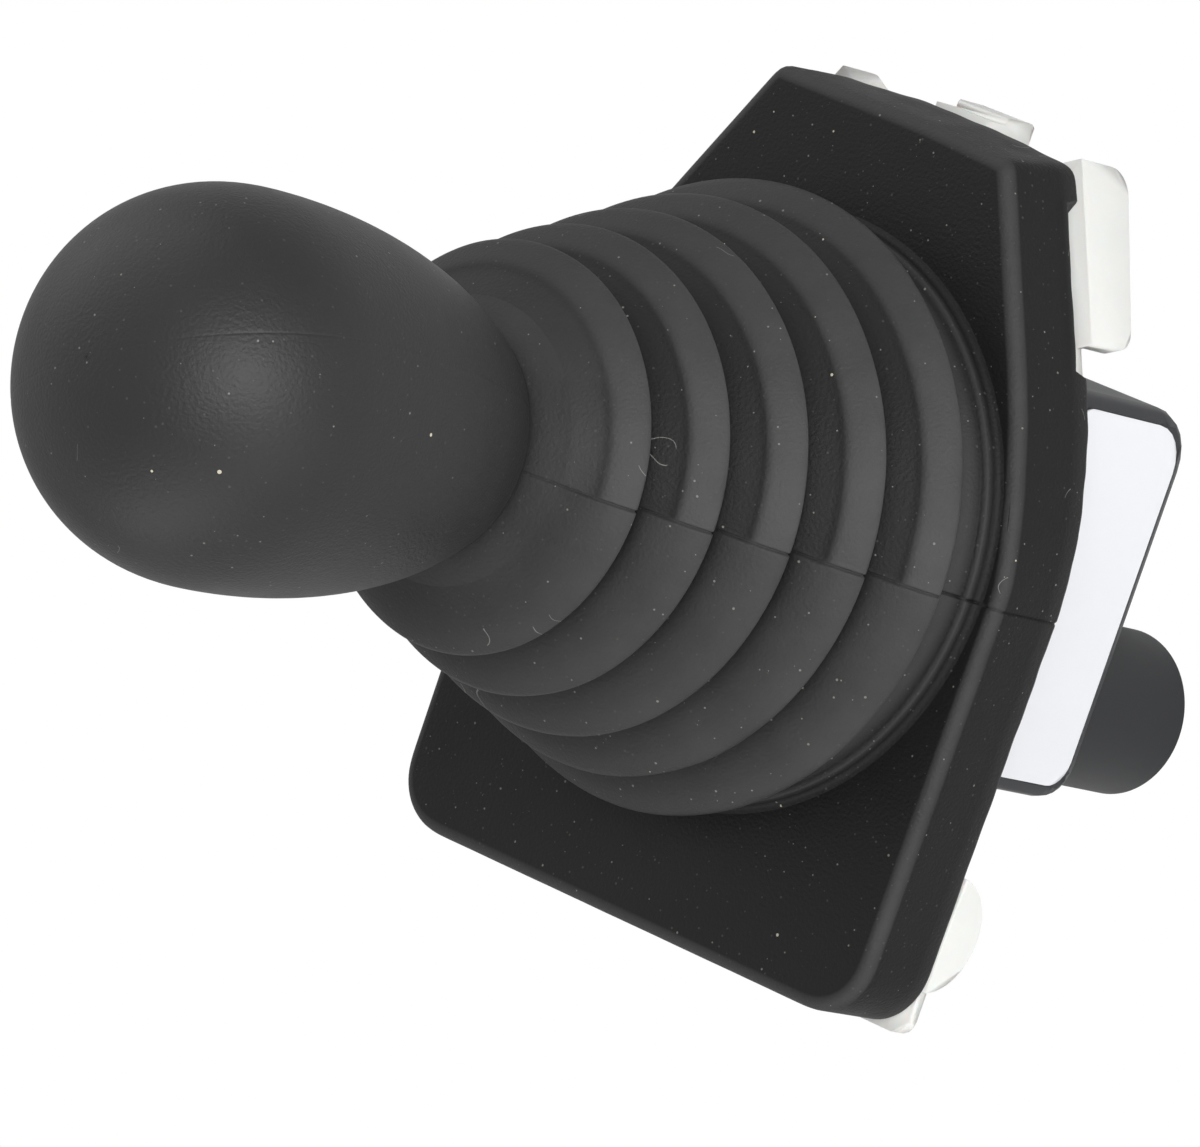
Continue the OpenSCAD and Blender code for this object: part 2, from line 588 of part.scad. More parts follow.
// Height of the base plate's part that shows under the skirt's edge.
plate_under = skirt_edge - mould_gap;
lug_in = 1.2;
lug_r = 2;
plate_inset = skirt_wall + mould_gap;
mount_spots = [for (x = [-1, 1], y = [-1, 1]) [x * mount_x / 2, y * mount_y / 2]];
module base_plate() color([0.93, 0.93, 0.9]) difference() {
    union() {
        difference() {
            linear_extrude(plate_top) polygon(outline(plate_inset));
            translate([0, 0, -1]) linear_extrude(roof_under + 1) polygon(outline(plate_inset + rim_t));
        }
        // lugs under the skirt at the wide end's corners
        both_x() translate([wide_w / 2 - lug_in - lug_l, -flange_back - lug_past, 0])
            linear_extrude(plate_under) polygon(rounded([[0, 0], [lug_l, 0], [lug_l, lug_l], [0, lug_l]],
                [0.2, lug_r, 0.2, 0.2], 4));
        base_inside();
        // bearing posts
        both_x() translate([post_in, 0, 0]) {
            translate([0, -post_half, roof_under]) cube([post_t, 2 * post_half, pivot_z - roof_under]);
            translate([0, 0, pivot_z]) rotate([0, 90, 0]) cylinder(r = post_half, h = post_t);
        }
        // locating tabs
        translate([0, flange_front, 0]) snap_hook();
        both_x() side_frame() side_tab();
        both_x() translate([wide_w / 2 + 0.3, -flange_back + round_tab_back, 0]) rotate([0, 0, -90])
            round_tab();
    }
    translate([0, 0, -1]) linear_extrude(plate_top + 2) intersection() {
        circle(r = well_r);
        translate([-inner_x + 1, -inner_back + 1]) square([2 * inner_x - 2, inner_l - 2]);
    }
    translate([0, 0, roof_under - tiny]) cylinder(r = well_r, h = roof_t + 1);
    translate([0, 0, pivot_z]) rod_x(bush_r, 3 * post_out);
    for (p = pillars) translate([p.x, p.y, -1]) cylinder(r = screw_r + push_fit, h = 8);
    for (p = mount_spots) translate([p.x, p.y, -tiny])
        cylinder(r = mount_insert_r, h = mount_insert_l + tiny);
}

// Everything under the base plate's roof, inside its wall.
module base_inside() intersection() {
    translate([0, 0, -seat_drop]) linear_extrude(roof_under + seat_drop + tiny)
        polygon(outline(plate_inset));
    union() {
        // frame that the housing seats on
        translate([0, 0, -seat_drop]) linear_extrude(roof_under + seat_drop + tiny) difference() {
            translate([-housing_w / 2, -housing_back]) square([housing_w, housing_l]);
            translate([-housing_w / 2 + frame_wall, -housing_back + frame_wall])
                square([housing_w - 2 * frame_wall, housing_l - 2 * frame_wall]);
        }
        for (p = pillars) translate([p.x, p.y, -seat_drop])
            cylinder(r = pillar_r, h = roof_under + seat_drop + tiny);
        for (p = mount_spots) translate([p.x, p.y, 0])
            cylinder(r = mount_insert_r + 2, h = roof_under + tiny);
        // ribs from the frame to the wall
        both_x() for (y = [-12, 4]) translate([housing_w / 2 - 1, y - rib_t / 2, 0])
            cube([(flange_w - housing_w) / 2, rib_t, roof_under + tiny]);
        both_x() translate([mount_x / 2 - rib_t / 2, -flange_back, 0])
            cube([rib_t, flange_back - housing_back + 1, roof_under + tiny]);
        both_x() translate([mount_x / 2 - rib_t / 2, housing_front - 1, 0])
            cube([rib_t, flange_front - housing_front, roof_under + tiny]);
    }
}

module mounting_inserts() color([0.82, 0.68, 0.38]) for (p = mount_spots) translate([p.x, p.y, 0])
    tube(mount_insert_r - push_fit, mount_hole_r, mount_insert_l - push_fit);

// Steel plate whose square window stops the lever's tail.
gate_top = -seat_drop - seal_t;
module gate_plate() color([0.6, 0.6, 0.62]) translate([0, 0, gate_top - gate_t]) difference() {
    translate([-inner_x + mould_gap, -inner_back + mould_gap, 0])
        cube([2 * (inner_x - mould_gap), inner_l - 2 * mould_gap, gate_t]);
    translate([-gate_half, -gate_half, -1]) cube([2 * gate_half, 2 * gate_half, gate_t + 2]);
    for (p = pillars) translate([p.x, p.y, -1]) cylinder(r = screw_r + 0.2, h = gate_t + 2);
}

// Housing section in the plane of Y and Z, d inside the outer face.
function housing_section(d) = rounded([[-housing_back + d, -housing_d + d],
    [housing_front - d, -housing_d + d], [housing_front - d, gate_top], [-housing_back + d, gate_top]],
    [housing_back_r - d, housing_front_r - d, 0.2, 0.2], 6);
boss_step = 0.4;
module housing() color([0.1, 0.1, 0.11]) difference() {
    union() {
        housing_shape();
        translate([plug_x, plug_y, -housing_d]) cylinder(r = plug_r - boss_step, h = housing_back_r + 1);
    }
    difference() {
        intersection() {
            prism_x(2 * inner_x) polygon(housing_section(housing_wall));
            translate([-inner_x, -inner_back, housing_floor]) cube([2 * inner_x, inner_l, housing_d]);
        }
        for (p = pillars) translate([p.x, p.y, -housing_d])
            cylinder(r = pillar_r, h = housing_d + gate_top - gate_t);
        translate([plug_x, plug_y, -housing_d]) cylinder(r = nut_r + 0.6, h = housing_wall + nut_pad_h);
    }
    translate([-inner_x, -inner_back, gate_top - gate_t]) cube([2 * inner_x, inner_l, gate_t + 1]);
    for (p = pillars) translate([p.x, p.y, -housing_d - 1]) {
        cylinder(r = screw_r + 0.2, h = housing_d + 2);
        cylinder(r = screw_head_r + 0.3, h = 1 + screw_head_h + 3);
    }
    translate([plug_x, plug_y, -housing_d - 1])
        cylinder(r = spigot_r + push_fit, h = housing_wall + nut_pad_h + 2);
    translate([housing_w / 2 - label_t, label_mid_y - label_l / 2, label_low])
        cube([1, label_l, label_h]);
}
module housing_shape() hull() {
    prism_x(housing_w - 2 * housing_edge_r) polygon(housing_section(0));
    prism_x(housing_w - 0.6 * housing_edge_r) polygon(housing_section(housing_edge_r * 0.3));
    prism_x(housing_w) polygon(housing_section(housing_edge_r));
    translate([-housing_w / 2, -housing_back + housing_edge_r, gate_top - 1])
        cube([housing_w, housing_l - 2 * housing_edge_r, 1]);
}

label_mid_y = (housing_front - housing_back) / 2;
label_low = -housing_d + housing_edge_r + 0.2;
label_half = [label_l / 2 - 0.1, label_h / 2 - 0.1];
module label_plate() color([0.93, 0.94, 0.95]) translate([housing_w / 2 - label_t + push_fit, 0, 0])
    rotate([90, 0, 90]) translate([label_mid_y, label_low + label_h / 2, 0]) linear_extrude(label_t)
        polygon(rounded([[-label_half.x, -label_half.y], [label_half.x, -label_half.y], label_half,
            [-label_half.x, label_half.y]],
            [housing_back_r - housing_edge_r, housing_front_r - housing_edge_r, 2, 2], 6));

module housing_seal() color([0.2, 0.2, 0.2]) translate([0, 0, gate_top + 0.02]) linear_extrude(seal_t - 0.04)
    difference() {
        translate([-housing_w / 2 + 0.4, -housing_back + 0.4])
            square([housing_w - 0.8, housing_l - 0.8]);
        translate([-housing_w / 2 + seal_w, -housing_back + seal_w])
            square([housing_w - 2 * seal_w, housing_l - 2 * seal_w]);
    }

screw_seat = -housing_d + screw_head_h + 3;
module housing_screws() color([0.65, 0.66, 0.67]) for (p = pillars) translate([p.x, p.y, 0]) difference() {
    union() {
        translate([0, 0, screw_seat - screw_head_h]) cylinder(r = screw_head_r, h = screw_head_h);
        translate([0, 0, screw_seat - tiny]) cylinder(r = screw_r, h = -screw_seat + 6);
    }
    translate([0, 0, screw_seat - screw_head_h - tiny]) cylinder(r = 1.5, h = 1.4, $fn = 6);
}

// Circuit board, notched round the pillars and drilled for the contacts.
module circuit_board() color([0.05, 0.32, 0.16]) difference() {
    translate([-inner_x + mould_gap, -inner_back + mould_gap, board_low])
        cube([2 * (inner_x - mould_gap), inner_l - 2 * mould_gap, board_t]);
    for (p = pillars) translate([p.x, p.y, board_low - 1])
        cylinder(r = pillar_r + mould_gap, h = board_t + 2);
    contact_spots() translate([0, 0, board_low - 1]) cylinder(r = contact_r + 0.1, h = board_t + 2);
}

module hall_sensor() color([0.08, 0.08, 0.08]) translate([0, 0, board_top + sensor_h / 2])
    cube([sensor_w, sensor_w, sensor_h], center = true);

// Two controller chips, a row of small ones and a capacitor, placed from the board's edges.
chip_x = inner_x / 2 + 1;
small_pitch = (inner_x - 5) / small_chips;
module board_chips() color([0.12, 0.12, 0.13]) translate([0, 0, board_top]) {
    both_x() translate([chip_x - chip_w / 2, chip_y - chip_w / 2, 0]) cube([chip_w, chip_w, chip_h]);
    for (k = [1:small_chips]) translate([-k * small_pitch, -inner_back * 2 / 3, 0])
        cube([small_pitch / 2, small_pitch, chip_h / 2]);
    translate([cap_r + 3 - inner_x, 0, 0]) cylinder(r = cap_r, h = cap_h);
}

// Round connector under the housing.
plug_top = -housing_d;
nut_seat = housing_wall + nut_pad_h;
nut_l = 2.4;
nut_r = spigot_r + 2;
block_r = spigot_r - 1.3;
module contact_spots() translate([plug_x, plug_y, 0]) {
    children();
    for (k = [0:contacts - 1]) rotate([0, 0, 360 * k / contacts])
        translate([contact_circle_r, 0, 0]) children();
}
module connector_shell() color([0.1, 0.1, 0.11]) translate([plug_x, plug_y, plug_top]) difference() {
    union() {
        translate([0, 0, -plug_l]) cylinder(r = plug_r, h = plug_l);
        translate([0, 0, -tiny]) cylinder(r = spigot_r, h = nut_seat + nut_l + 1.5);
    }
    translate([0, 0, -plug_l - 1]) cylinder(r = plug_r - plug_wall, h = plug_l - plug_floor + 1);
    translate([0, 0, -plug_floor - 1]) cylinder(r = block_r, h = plug_floor + nut_seat + nut_l + 5);
    translate([0, 0, -0.9]) tube(plug_r - 0.9, spigot_r + 0.9, 1);
    for (a = [30, 150, 270]) rotate([0, 0, a]) translate([plug_r - plug_wall - 1, -1.2, -plug_l - 1])
        cube([1.6, 2.4, plug_l - plug_floor]);
}

module connector_seal() color([0.2, 0.2, 0.2]) translate([plug_x, plug_y, plug_top])
    rotate_extrude() translate([(plug_r + spigot_r) / 2, -0.45]) circle(r = 0.42);

module connector_nut() color([0.15, 0.15, 0.16]) translate([plug_x, plug_y, plug_top + nut_seat])
    difference() {
        cylinder(r = nut_r, h = nut_l, $fn = 6);
        translate([0, 0, -1]) cylinder(r = spigot_r + push_fit, h = nut_l + 2);
    }

// Insulating block pressed into the spigot; the contacts pass through it.
block_up = plug_top + nut_seat + nut_l;
block_down = plug_top - plug_floor;
module contact_block() color([0.75, 0.74, 0.68]) difference() {
    translate([plug_x, plug_y, block_down]) cylinder(r = block_r - push_fit, h = block_up - block_down);
    contact_spots() translate([0, 0, block_down - 1])
        cylinder(r = contact_r + push_fit, h = block_up - block_down + 2);
}

contact_low = plug_top - plug_floor - contact_l;
module contact_pins() color([0.85, 0.72, 0.4]) contact_spots() translate([0, 0, contact_low])
    cylinder(r = contact_r, h = board_top + 0.6 - contact_low);

knob();
knob_insert();
jam_nut();
lever_shaft();
neck_collar();
pivot_block();
inner_axle();
axle_clips();
stop_sleeve();
magnet_holder();
magnet();
gimbal_ring();
ring_pins();
roll_spring();
pitch_spring();
bearing_bushes();
bellows();
base_plate();
mounting_inserts();
gate_plate();
housing();
housing_seal();
housing_screws();
label_plate();
circuit_board();
hall_sensor();
board_chips();
connector_shell();
connector_seal();
connector_nut();
contact_block();
contact_pins();
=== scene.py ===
import math

import bmesh
import bpy
import numpy as np
from mathutils import Matrix, Vector


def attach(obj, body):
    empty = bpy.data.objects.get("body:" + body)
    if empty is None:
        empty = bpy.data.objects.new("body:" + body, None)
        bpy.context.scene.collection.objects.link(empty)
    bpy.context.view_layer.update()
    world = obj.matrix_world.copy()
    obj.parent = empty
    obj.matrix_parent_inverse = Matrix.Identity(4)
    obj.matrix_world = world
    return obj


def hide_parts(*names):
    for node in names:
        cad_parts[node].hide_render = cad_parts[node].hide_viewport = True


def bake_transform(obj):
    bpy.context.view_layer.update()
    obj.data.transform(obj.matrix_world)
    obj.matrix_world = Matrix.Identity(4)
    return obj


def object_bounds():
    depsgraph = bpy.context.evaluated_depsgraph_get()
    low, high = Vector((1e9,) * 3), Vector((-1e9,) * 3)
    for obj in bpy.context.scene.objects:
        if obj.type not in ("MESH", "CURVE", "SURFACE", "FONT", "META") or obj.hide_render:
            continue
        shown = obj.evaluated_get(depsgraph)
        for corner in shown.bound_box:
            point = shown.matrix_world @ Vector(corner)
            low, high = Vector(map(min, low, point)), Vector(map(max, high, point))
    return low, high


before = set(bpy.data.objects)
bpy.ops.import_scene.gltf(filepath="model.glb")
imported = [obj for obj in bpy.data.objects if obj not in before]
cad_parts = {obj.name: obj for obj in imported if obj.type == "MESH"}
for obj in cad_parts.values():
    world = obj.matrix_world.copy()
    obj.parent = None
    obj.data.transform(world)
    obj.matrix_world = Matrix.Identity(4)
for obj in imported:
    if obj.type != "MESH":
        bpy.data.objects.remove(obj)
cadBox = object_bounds()
scene = bpy.context.scene
mm = 0.001

# Camera first: it looks down on the lever's side, with the knob to the left.
cameraView = {
    "place": (0.80387, 0.11679, 1.02526),
    "right": (0.71212, 0.32558, -0.62201),
    "up": (-0.31367, 0.94017, 0.13301),
    "lens": 326.82,
    "sensor": 36.0,
    "near": 0.05,
    "far": 20,
}


def addCamera(view):
    data = bpy.data.cameras.new("camera")
    data.lens, data.sensor_width = view["lens"], view["sensor"]
    data.clip_start, data.clip_end = view["near"], view["far"]
    camera = bpy.data.objects.new("camera", data)
    scene.collection.objects.link(camera)
    right, up = Vector(view["right"]).normalized(), Vector(view["up"]).normalized()
    turn = Matrix((right, up, right.cross(up))).transposed().to_4x4()
    camera.matrix_world = Matrix.Translation(view["place"]) @ turn
    scene.camera = camera


addCamera(cameraView)
print("camera is set")


def linear(hexText):  # sRGB hex to linear RGBA
    parts = [int(hexText[k:k + 2], 16) / 255 for k in (0, 2, 4)]
    return [c / 12.92 if c <= 0.04045 else ((c + 0.055) / 1.055) ** 2.4 for c in parts] + [1.0]


def addNode(tree, kind, settings=None, links=None):
    node = tree.nodes.new(kind)
    for name, value in (settings or {}).items():
        setattr(node, name, value)
    for key, value in (links or {}).items():
        if isinstance(value, bpy.types.NodeSocket):
            tree.links.new(value, node.inputs[key])
        else:
            node.inputs[key].default_value = value
    return node


def meshObject(name, points, faces):
    mesh = bpy.data.meshes.new(name)
    mesh.from_pydata([tuple(p) for p in points], [], faces)
    mesh.update()
    piece = bpy.data.objects.new(name, mesh)
    scene.collection.objects.link(piece)
    mesh.shade_smooth()
    return piece


def gridFaces(rows, columns):  # quads between closed rings of points
    faces = []
    for i in range(rows - 1):
        for j in range(columns):
            k = (j + 1) % columns
            faces.append((i * columns + j, i * columns + k, (i + 1) * columns + k, (i + 1) * columns + j))
    return faces


def sharpByAngle(piece, degrees):
    piece.data.set_sharp_from_angle(angle=math.radians(degrees))


def applyModifiers(piece):
    graph = bpy.context.evaluated_depsgraph_get()
    mesh = bpy.data.meshes.new_from_object(piece.evaluated_get(graph), depsgraph=graph)
    piece.modifiers.clear()
    piece.data = mesh


# Each finish: colour and second colour (sRGB hex), size of the slow colour change and of the grain in mm,
# how deep the grain is in mm, roughness low and high, the shader's own settings, and how much dust it holds.
# The tool's real texture is too fine to show, so the grain of both rubbers is drawn coarser.
finishes = {
    # EPDM rubber, moulded in an eroded steel tool: a dead matt black that greys where it is rubbed; its paler
    # colour also stands in for light, as a painted highlight on the lips, the top edge of the flange and the
    # +X side, with painted shade left dark in the grooves
    "epdmRubber": {"colour": "141414", "second": "1a1a1a", "rubAndLightColour": "494949", "blotch": 9,
                   "grain": 0.45, "depth": 0.09,
                   "rough": (0.5, 0.6), "shader": {"IOR": 1.5, "Specular IOR Level": 0.17}, "dust": 1.0},
    # soft-touch elastomer over a rigid core: matt with a broad soft sheen
    "softTouch": {"colour": "1f1f1f", "second": "252525", "blotch": 12, "grain": 0.45, "depth": 0.09,
                  "rough": (0.42, 0.5), "shader": {"IOR": 1.5, "Specular IOR Level": 0.3}, "dust": 0.7},
    # natural nylon 6, unpigmented: milky, waxy, lets some light through
    "naturalNylon": {"colour": "e4e5e2", "second": "dcddd9", "blotch": 7, "grain": 0.6, "depth": 0.01,
                     "rough": (0.36, 0.46), "shader": {"IOR": 1.53, "Subsurface Weight": 0.12,
                                                       "Subsurface Scale": 0.002}},
    # glass-filled black nylon, finely eroded: an even satin, cooler than the rubber
    "blackNylon": {"colour": "26272a", "second": "2d2e31", "blotch": 16, "grain": 0.25, "depth": 0.006,
                   "rough": (0.38, 0.46), "shader": {"IOR": 1.53, "Specular IOR Level": 0.35}},
    # black PBT: a smoother, darker satin
    "blackPbt": {"colour": "1f2022", "second": "252628", "blotch": 12, "grain": 0.3, "depth": 0.004,
                 "rough": (0.4, 0.48), "shader": {"IOR": 1.57, "Specular IOR Level": 0.25}},
    # coated polyester film: flat cool white, nearly smooth
    "polyesterFilm": {"colour": "e4e5e8", "second": "e0e1e5", "blotch": 12, "grain": 0.5, "depth": 0.002,
                      "rough": (0.3, 0.38), "shader": {"IOR": 1.55}},
    # free-cutting brass, turned: warm yellow, with fine marks running round
    "turnedBrass": {"colour": "c9a45c", "second": "b8934f", "blotch": 5, "grain": 0.2, "depth": 0.004,
                    "rough": (0.25, 0.4), "shader": {"Metallic": 1.0}, "turned": True},
    # sintered bronze bush: dull, porous
    "sinteredBronze": {"colour": "a9824e", "second": "8f6c3f", "blotch": 2, "grain": 0.15, "depth": 0.02,
                       "rough": (0.45, 0.6), "shader": {"Metallic": 1.0}},
    # ground stainless steel: bright and cool, with fine marks running round
    "groundSteel": {"colour": "c9cacb", "second": "b6b8ba", "blotch": 4, "grain": 0.2, "depth": 0.003,
                    "rough": (0.18, 0.3), "shader": {"Metallic": 1.0}, "turned": True},
    # hard-drawn spring wire, oiled: dark grey with a narrow gleam
    "springWire": {"colour": "8d8f93", "second": "75777b", "blotch": 2, "grain": 0.1, "depth": 0.003,
                   "rough": (0.28, 0.42), "shader": {"Metallic": 1.0}},
    # zinc-plated steel, blue passivated: pale and slightly cloudy
    "zincPlate": {"colour": "b9bec6", "second": "a7a79a", "blotch": 3, "grain": 0.25, "depth": 0.004,
                  "rough": (0.3, 0.45), "shader": {"Metallic": 1.0}},
    # cast aluminium, bead blasted: soft light grey with no clear reflection
    "blastedAluminium": {"colour": "b4b7ba", "second": "a2a5a9", "blotch": 6, "grain": 0.25, "depth": 0.015,
                         "rough": (0.45, 0.58), "shader": {"Metallic": 1.0}},
    # nickel-plated neodymium: smooth, warm silver
    "nickelPlate": {"colour": "c4c1b9", "second": "b5b2ab", "blotch": 3, "grain": 0.3, "depth": 0.002,
                    "rough": (0.14, 0.25), "shader": {"Metallic": 1.0}},
    # black acetal, turned: black and slightly waxy, with fine marks running round
    "blackAcetal": {"colour": "1f2021", "second": "27282a", "blotch": 5, "grain": 0.2, "depth": 0.004,
                    "rough": (0.32, 0.42), "shader": {"IOR": 1.48}, "turned": True},
    # white acetal: dense white that lets a little light through
    "whiteAcetal": {"colour": "ecebe6", "second": "e2e1db", "blotch": 5, "grain": 0.3, "depth": 0.004,
                    "rough": (0.32, 0.42), "shader": {"IOR": 1.48, "Subsurface Weight": 0.2,
                                                      "Subsurface Scale": 0.001}},
    # nitrile rubber: plain matt black
    "nitrile": {"colour": "232324", "second": "2a2a2b", "blotch": 4, "grain": 0.2, "depth": 0.005,
                "rough": (0.5, 0.62), "shader": {"IOR": 1.52}},
    # glass epoxy board under green solder mask: the weave just shows
    "solderMask": {"colour": "1c6b3c", "second": "155a31", "blotch": 6, "grain": 0.5, "depth": 0.004,
                   "rough": (0.25, 0.35), "shader": {"IOR": 1.5, "Coat Weight": 0.3}},
    # moulded epoxy of a chip: matt dark grey
    "chipEpoxy": {"colour": "202122", "second": "2a2b2d", "blotch": 2, "grain": 0.1, "depth": 0.006,
                  "rough": (0.5, 0.62), "shader": {"IOR": 1.55}},
    # glass-filled insulator: dull cream
    "insulator": {"colour": "bdb9a6", "second": "aeaa98", "blotch": 4, "grain": 0.2, "depth": 0.01,
                  "rough": (0.42, 0.52), "shader": {"IOR": 1.58}},
}
# What all finishes share: the slow colour change, how far its ends are spread, and tool marks' stretch.
noiseValues = {"blotchDetail": 4.0, "blotchRoughness": 0.6, "blotchLow": 0.3, "blotchHigh": 0.7,
               "grainDetail": 3.0, "turnedStretch": (0.2, 0.2, 1.6), "rubAndLightLow": 0.7}
# Dust that settles on rubber, in three sizes: cell and speck in mm, share of cells that hold one, and seed.
# Real dust is finer than a render shows, so the smallest specks are drawn coarser.
dustValues = {
    "grit": {"cell": 0.75, "size": 0.16, "share": 0.45, "strength": 0.6, "colour": "4b4b48", "seed": 3.0},
    "fine": {"cell": 1.3, "size": 0.16, "share": 0.5, "strength": 0.7, "colour": "8b8a84", "seed": 1.0},
    "crumb": {"cell": 4.2, "size": 0.26, "share": 0.4, "strength": 0.9, "colour": "c9c3ae", "seed": 2.0},
}
# Lint: hairs that follow a wave of this size in mm, this wide in the wave's own measure.
lintValues = {"cell": 9.0, "size": 2.6, "share": 0.45, "strength": 0.55, "colour": "9a9a96", "seed": 7.0,
              "wave": 4.0, "width": 0.006}


def specks(tree, place, given, share):  # 1 inside a speck, 0 outside
    cells = addNode(tree, "ShaderNodeTexVoronoi", {"voronoi_dimensions": "3D", "feature": "F1"},
                    {"Vector": place, "Scale": 1 / (given["cell"] * mm), "Randomness": 1.0})
    draw = addNode(tree, "ShaderNodeTexWhiteNoise", {"noise_dimensions": "4D"},
                   {"Vector": cells.outputs["Position"], "W": given["seed"]})
    held = addNode(tree, "ShaderNodeMath", {"operation": "LESS_THAN"},
                   {0: draw.outputs["Value"], 1: share})
    parts = addNode(tree, "ShaderNodeSeparateColor", links={0: draw.outputs["Color"]})
    reach = addNode(tree, "ShaderNodeMath", {"operation": "MULTIPLY"},
                    {0: parts.outputs[1], 1: given["size"] / given["cell"]})
    inside = addNode(tree, "ShaderNodeMath", {"operation": "LESS_THAN"},
                     {0: cells.outputs["Distance"], 1: reach.outputs[0]})
    return addNode(tree, "ShaderNodeMath", {"operation": "MULTIPLY"},
                   {0: held.outputs[0], 1: inside.outputs[0]}).outputs[0]


def lint(tree, place, given):  # short curved hairs: where a slow noise crosses its middle, near a few cells
    wave = addNode(tree, "ShaderNodeTexNoise", {"noise_dimensions": "3D"},
                   {"Vector": place, "Scale": 1 / (given["wave"] * mm), "Detail": 0.0})
    line = addNode(tree, "ShaderNodeMath", {"operation": "COMPARE"},
                   {0: wave.outputs[0], 1: 0.5, 2: given["width"]})
    near = specks(tree, place, given, given["share"])
    return addNode(tree, "ShaderNodeMath", {"operation": "MULTIPLY"},
                   {0: line.outputs[0], 1: near}).outputs[0]


def makeFinish(name, given):
    material = bpy.data.materials.new(name)
    material.use_nodes = True
    tree = material.node_tree
    tree.nodes.clear()
    place = addNode(tree, "ShaderNodeTexCoord").outputs["Object"]
    blotch = addNode(tree, "ShaderNodeTexNoise", links={
        "Vector": place, "Scale": 1 / (given["blotch"] * mm), "Detail": noiseValues["blotchDetail"],
        "Roughness": noiseValues["blotchRoughness"]}).outputs[0]
    spread = {0: blotch, 1: noiseValues["blotchLow"], 2: noiseValues["blotchHigh"]}
    grainPlace = place
    if given.get("turned"):  # tool marks run round, so the grain is stretched across the axis
        grainPlace = addNode(tree, "ShaderNodeMapping", links={
            "Vector": place, "Scale": noiseValues["turnedStretch"]}).outputs[0]
    grain = addNode(tree, "ShaderNodeTexNoise", links={
        "Vector": grainPlace, "Scale": 1 / (given["grain"] * mm),
        "Detail": noiseValues["grainDetail"]}).outputs[0]
    mix = addNode(tree, "ShaderNodeMix", {"data_type": "RGBA"},
                  {0: blotch, 6: linear(given["colour"]), 7: linear(given["second"])})
    colour, low, high = mix.outputs[2], *given["rough"]
    if given.get("rubAndLightColour"):  # paler where the piece's own attribute says so: rubbed wear, and painted highlight with painted shade where it stays dark
        rubAndPaintedLight = addNode(tree, "ShaderNodeAttribute", {"attribute_name": "rubAndPaintedLight"}).outputs["Fac"]
        uneven = addNode(tree, "ShaderNodeMapRange", links={
            **spread, 3: noiseValues["rubAndLightLow"], 4: 1.0}).outputs[0]
        rubAndPaintedLight = addNode(tree, "ShaderNodeMath", {"operation": "MULTIPLY"}, {0: rubAndPaintedLight, 1: uneven}).outputs[0]
        colour = addNode(tree, "ShaderNodeMix", {"data_type": "RGBA"},
                         {0: rubAndPaintedLight, 6: colour, 7: linear(given["rubAndLightColour"])}).outputs[2]
    rough = addNode(tree, "ShaderNodeMapRange", links={**spread, 3: low, 4: high}).outputs[0]
    if given.get("dust"):
        layers = [(specks(tree, place, layer, layer["share"] * given["dust"]), layer["strength"],
                   layer["colour"]) for layer in dustValues.values()]
        layers.append((lint(tree, place, lintValues), lintValues["strength"] * given["dust"],
                       lintValues["colour"]))
        for mask, strength, dustColour in layers:
            amount = addNode(tree, "ShaderNodeMath", {"operation": "MULTIPLY"}, {0: mask, 1: strength})
            colour = addNode(tree, "ShaderNodeMix", {"data_type": "RGBA"},
                             {0: amount.outputs[0], 6: colour, 7: linear(dustColour)}).outputs[2]
    bump = addNode(tree, "ShaderNodeBump", links={"Strength": 1.0, "Distance": given["depth"] * mm,
                                                  "Height": grain}).outputs[0]
    shader = addNode(tree, "ShaderNodeBsdfPrincipled", links={"Base Color": colour, "Roughness": rough,
                                                              "Normal": bump, **given["shader"]})
    addNode(tree, "ShaderNodeOutputMaterial", links={0: shader.outputs[0]})
    return material


materials = {name: makeFinish(name, given) for name, given in finishes.items()}
nodeFinish = {
    "knob_insert": "turnedBrass", "jam_nut": "zincPlate", "lever_shaft": "groundSteel",
    "neck_collar": "blackAcetal", "pivot_block": "blastedAluminium", "inner_axle": "groundSteel",
    "axle_clips": "springWire", "stop_sleeve": "whiteAcetal", "magnet_holder": "blackAcetal",
    "magnet": "nickelPlate", "gimbal_ring": "blastedAluminium", "ring_pins": "groundSteel",
    "roll_spring": "springWire", "pitch_spring": "springWire", "bearing_bushes": "sinteredBronze",
    "base_plate": "naturalNylon", "mounting_inserts": "turnedBrass", "gate_plate": "zincPlate",
    "housing_seal": "nitrile", "housing_screws": "zincPlate", "label_plate": "polyesterFilm",
    "circuit_board": "solderMask", "hall_sensor": "chipEpoxy", "board_chips": "chipEpoxy",
    "connector_shell": "blackPbt", "connector_seal": "nitrile", "connector_nut": "blackAcetal",
    "contact_block": "insulator", "contact_pins": "turnedBrass",
    "knob": "softTouch", "bellows": "epdmRubber", "housing": "blackNylon",
}


def dress(piece, finish):
    piece.data.materials.clear()
    piece.data.materials.append(materials[finish])


for name, finish in nodeFinish.items():
    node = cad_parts[name]
    for place in node.material_slots:
        place.material = materials[finish]
print("materials are on the CAD nodes:", len(nodeFinish))


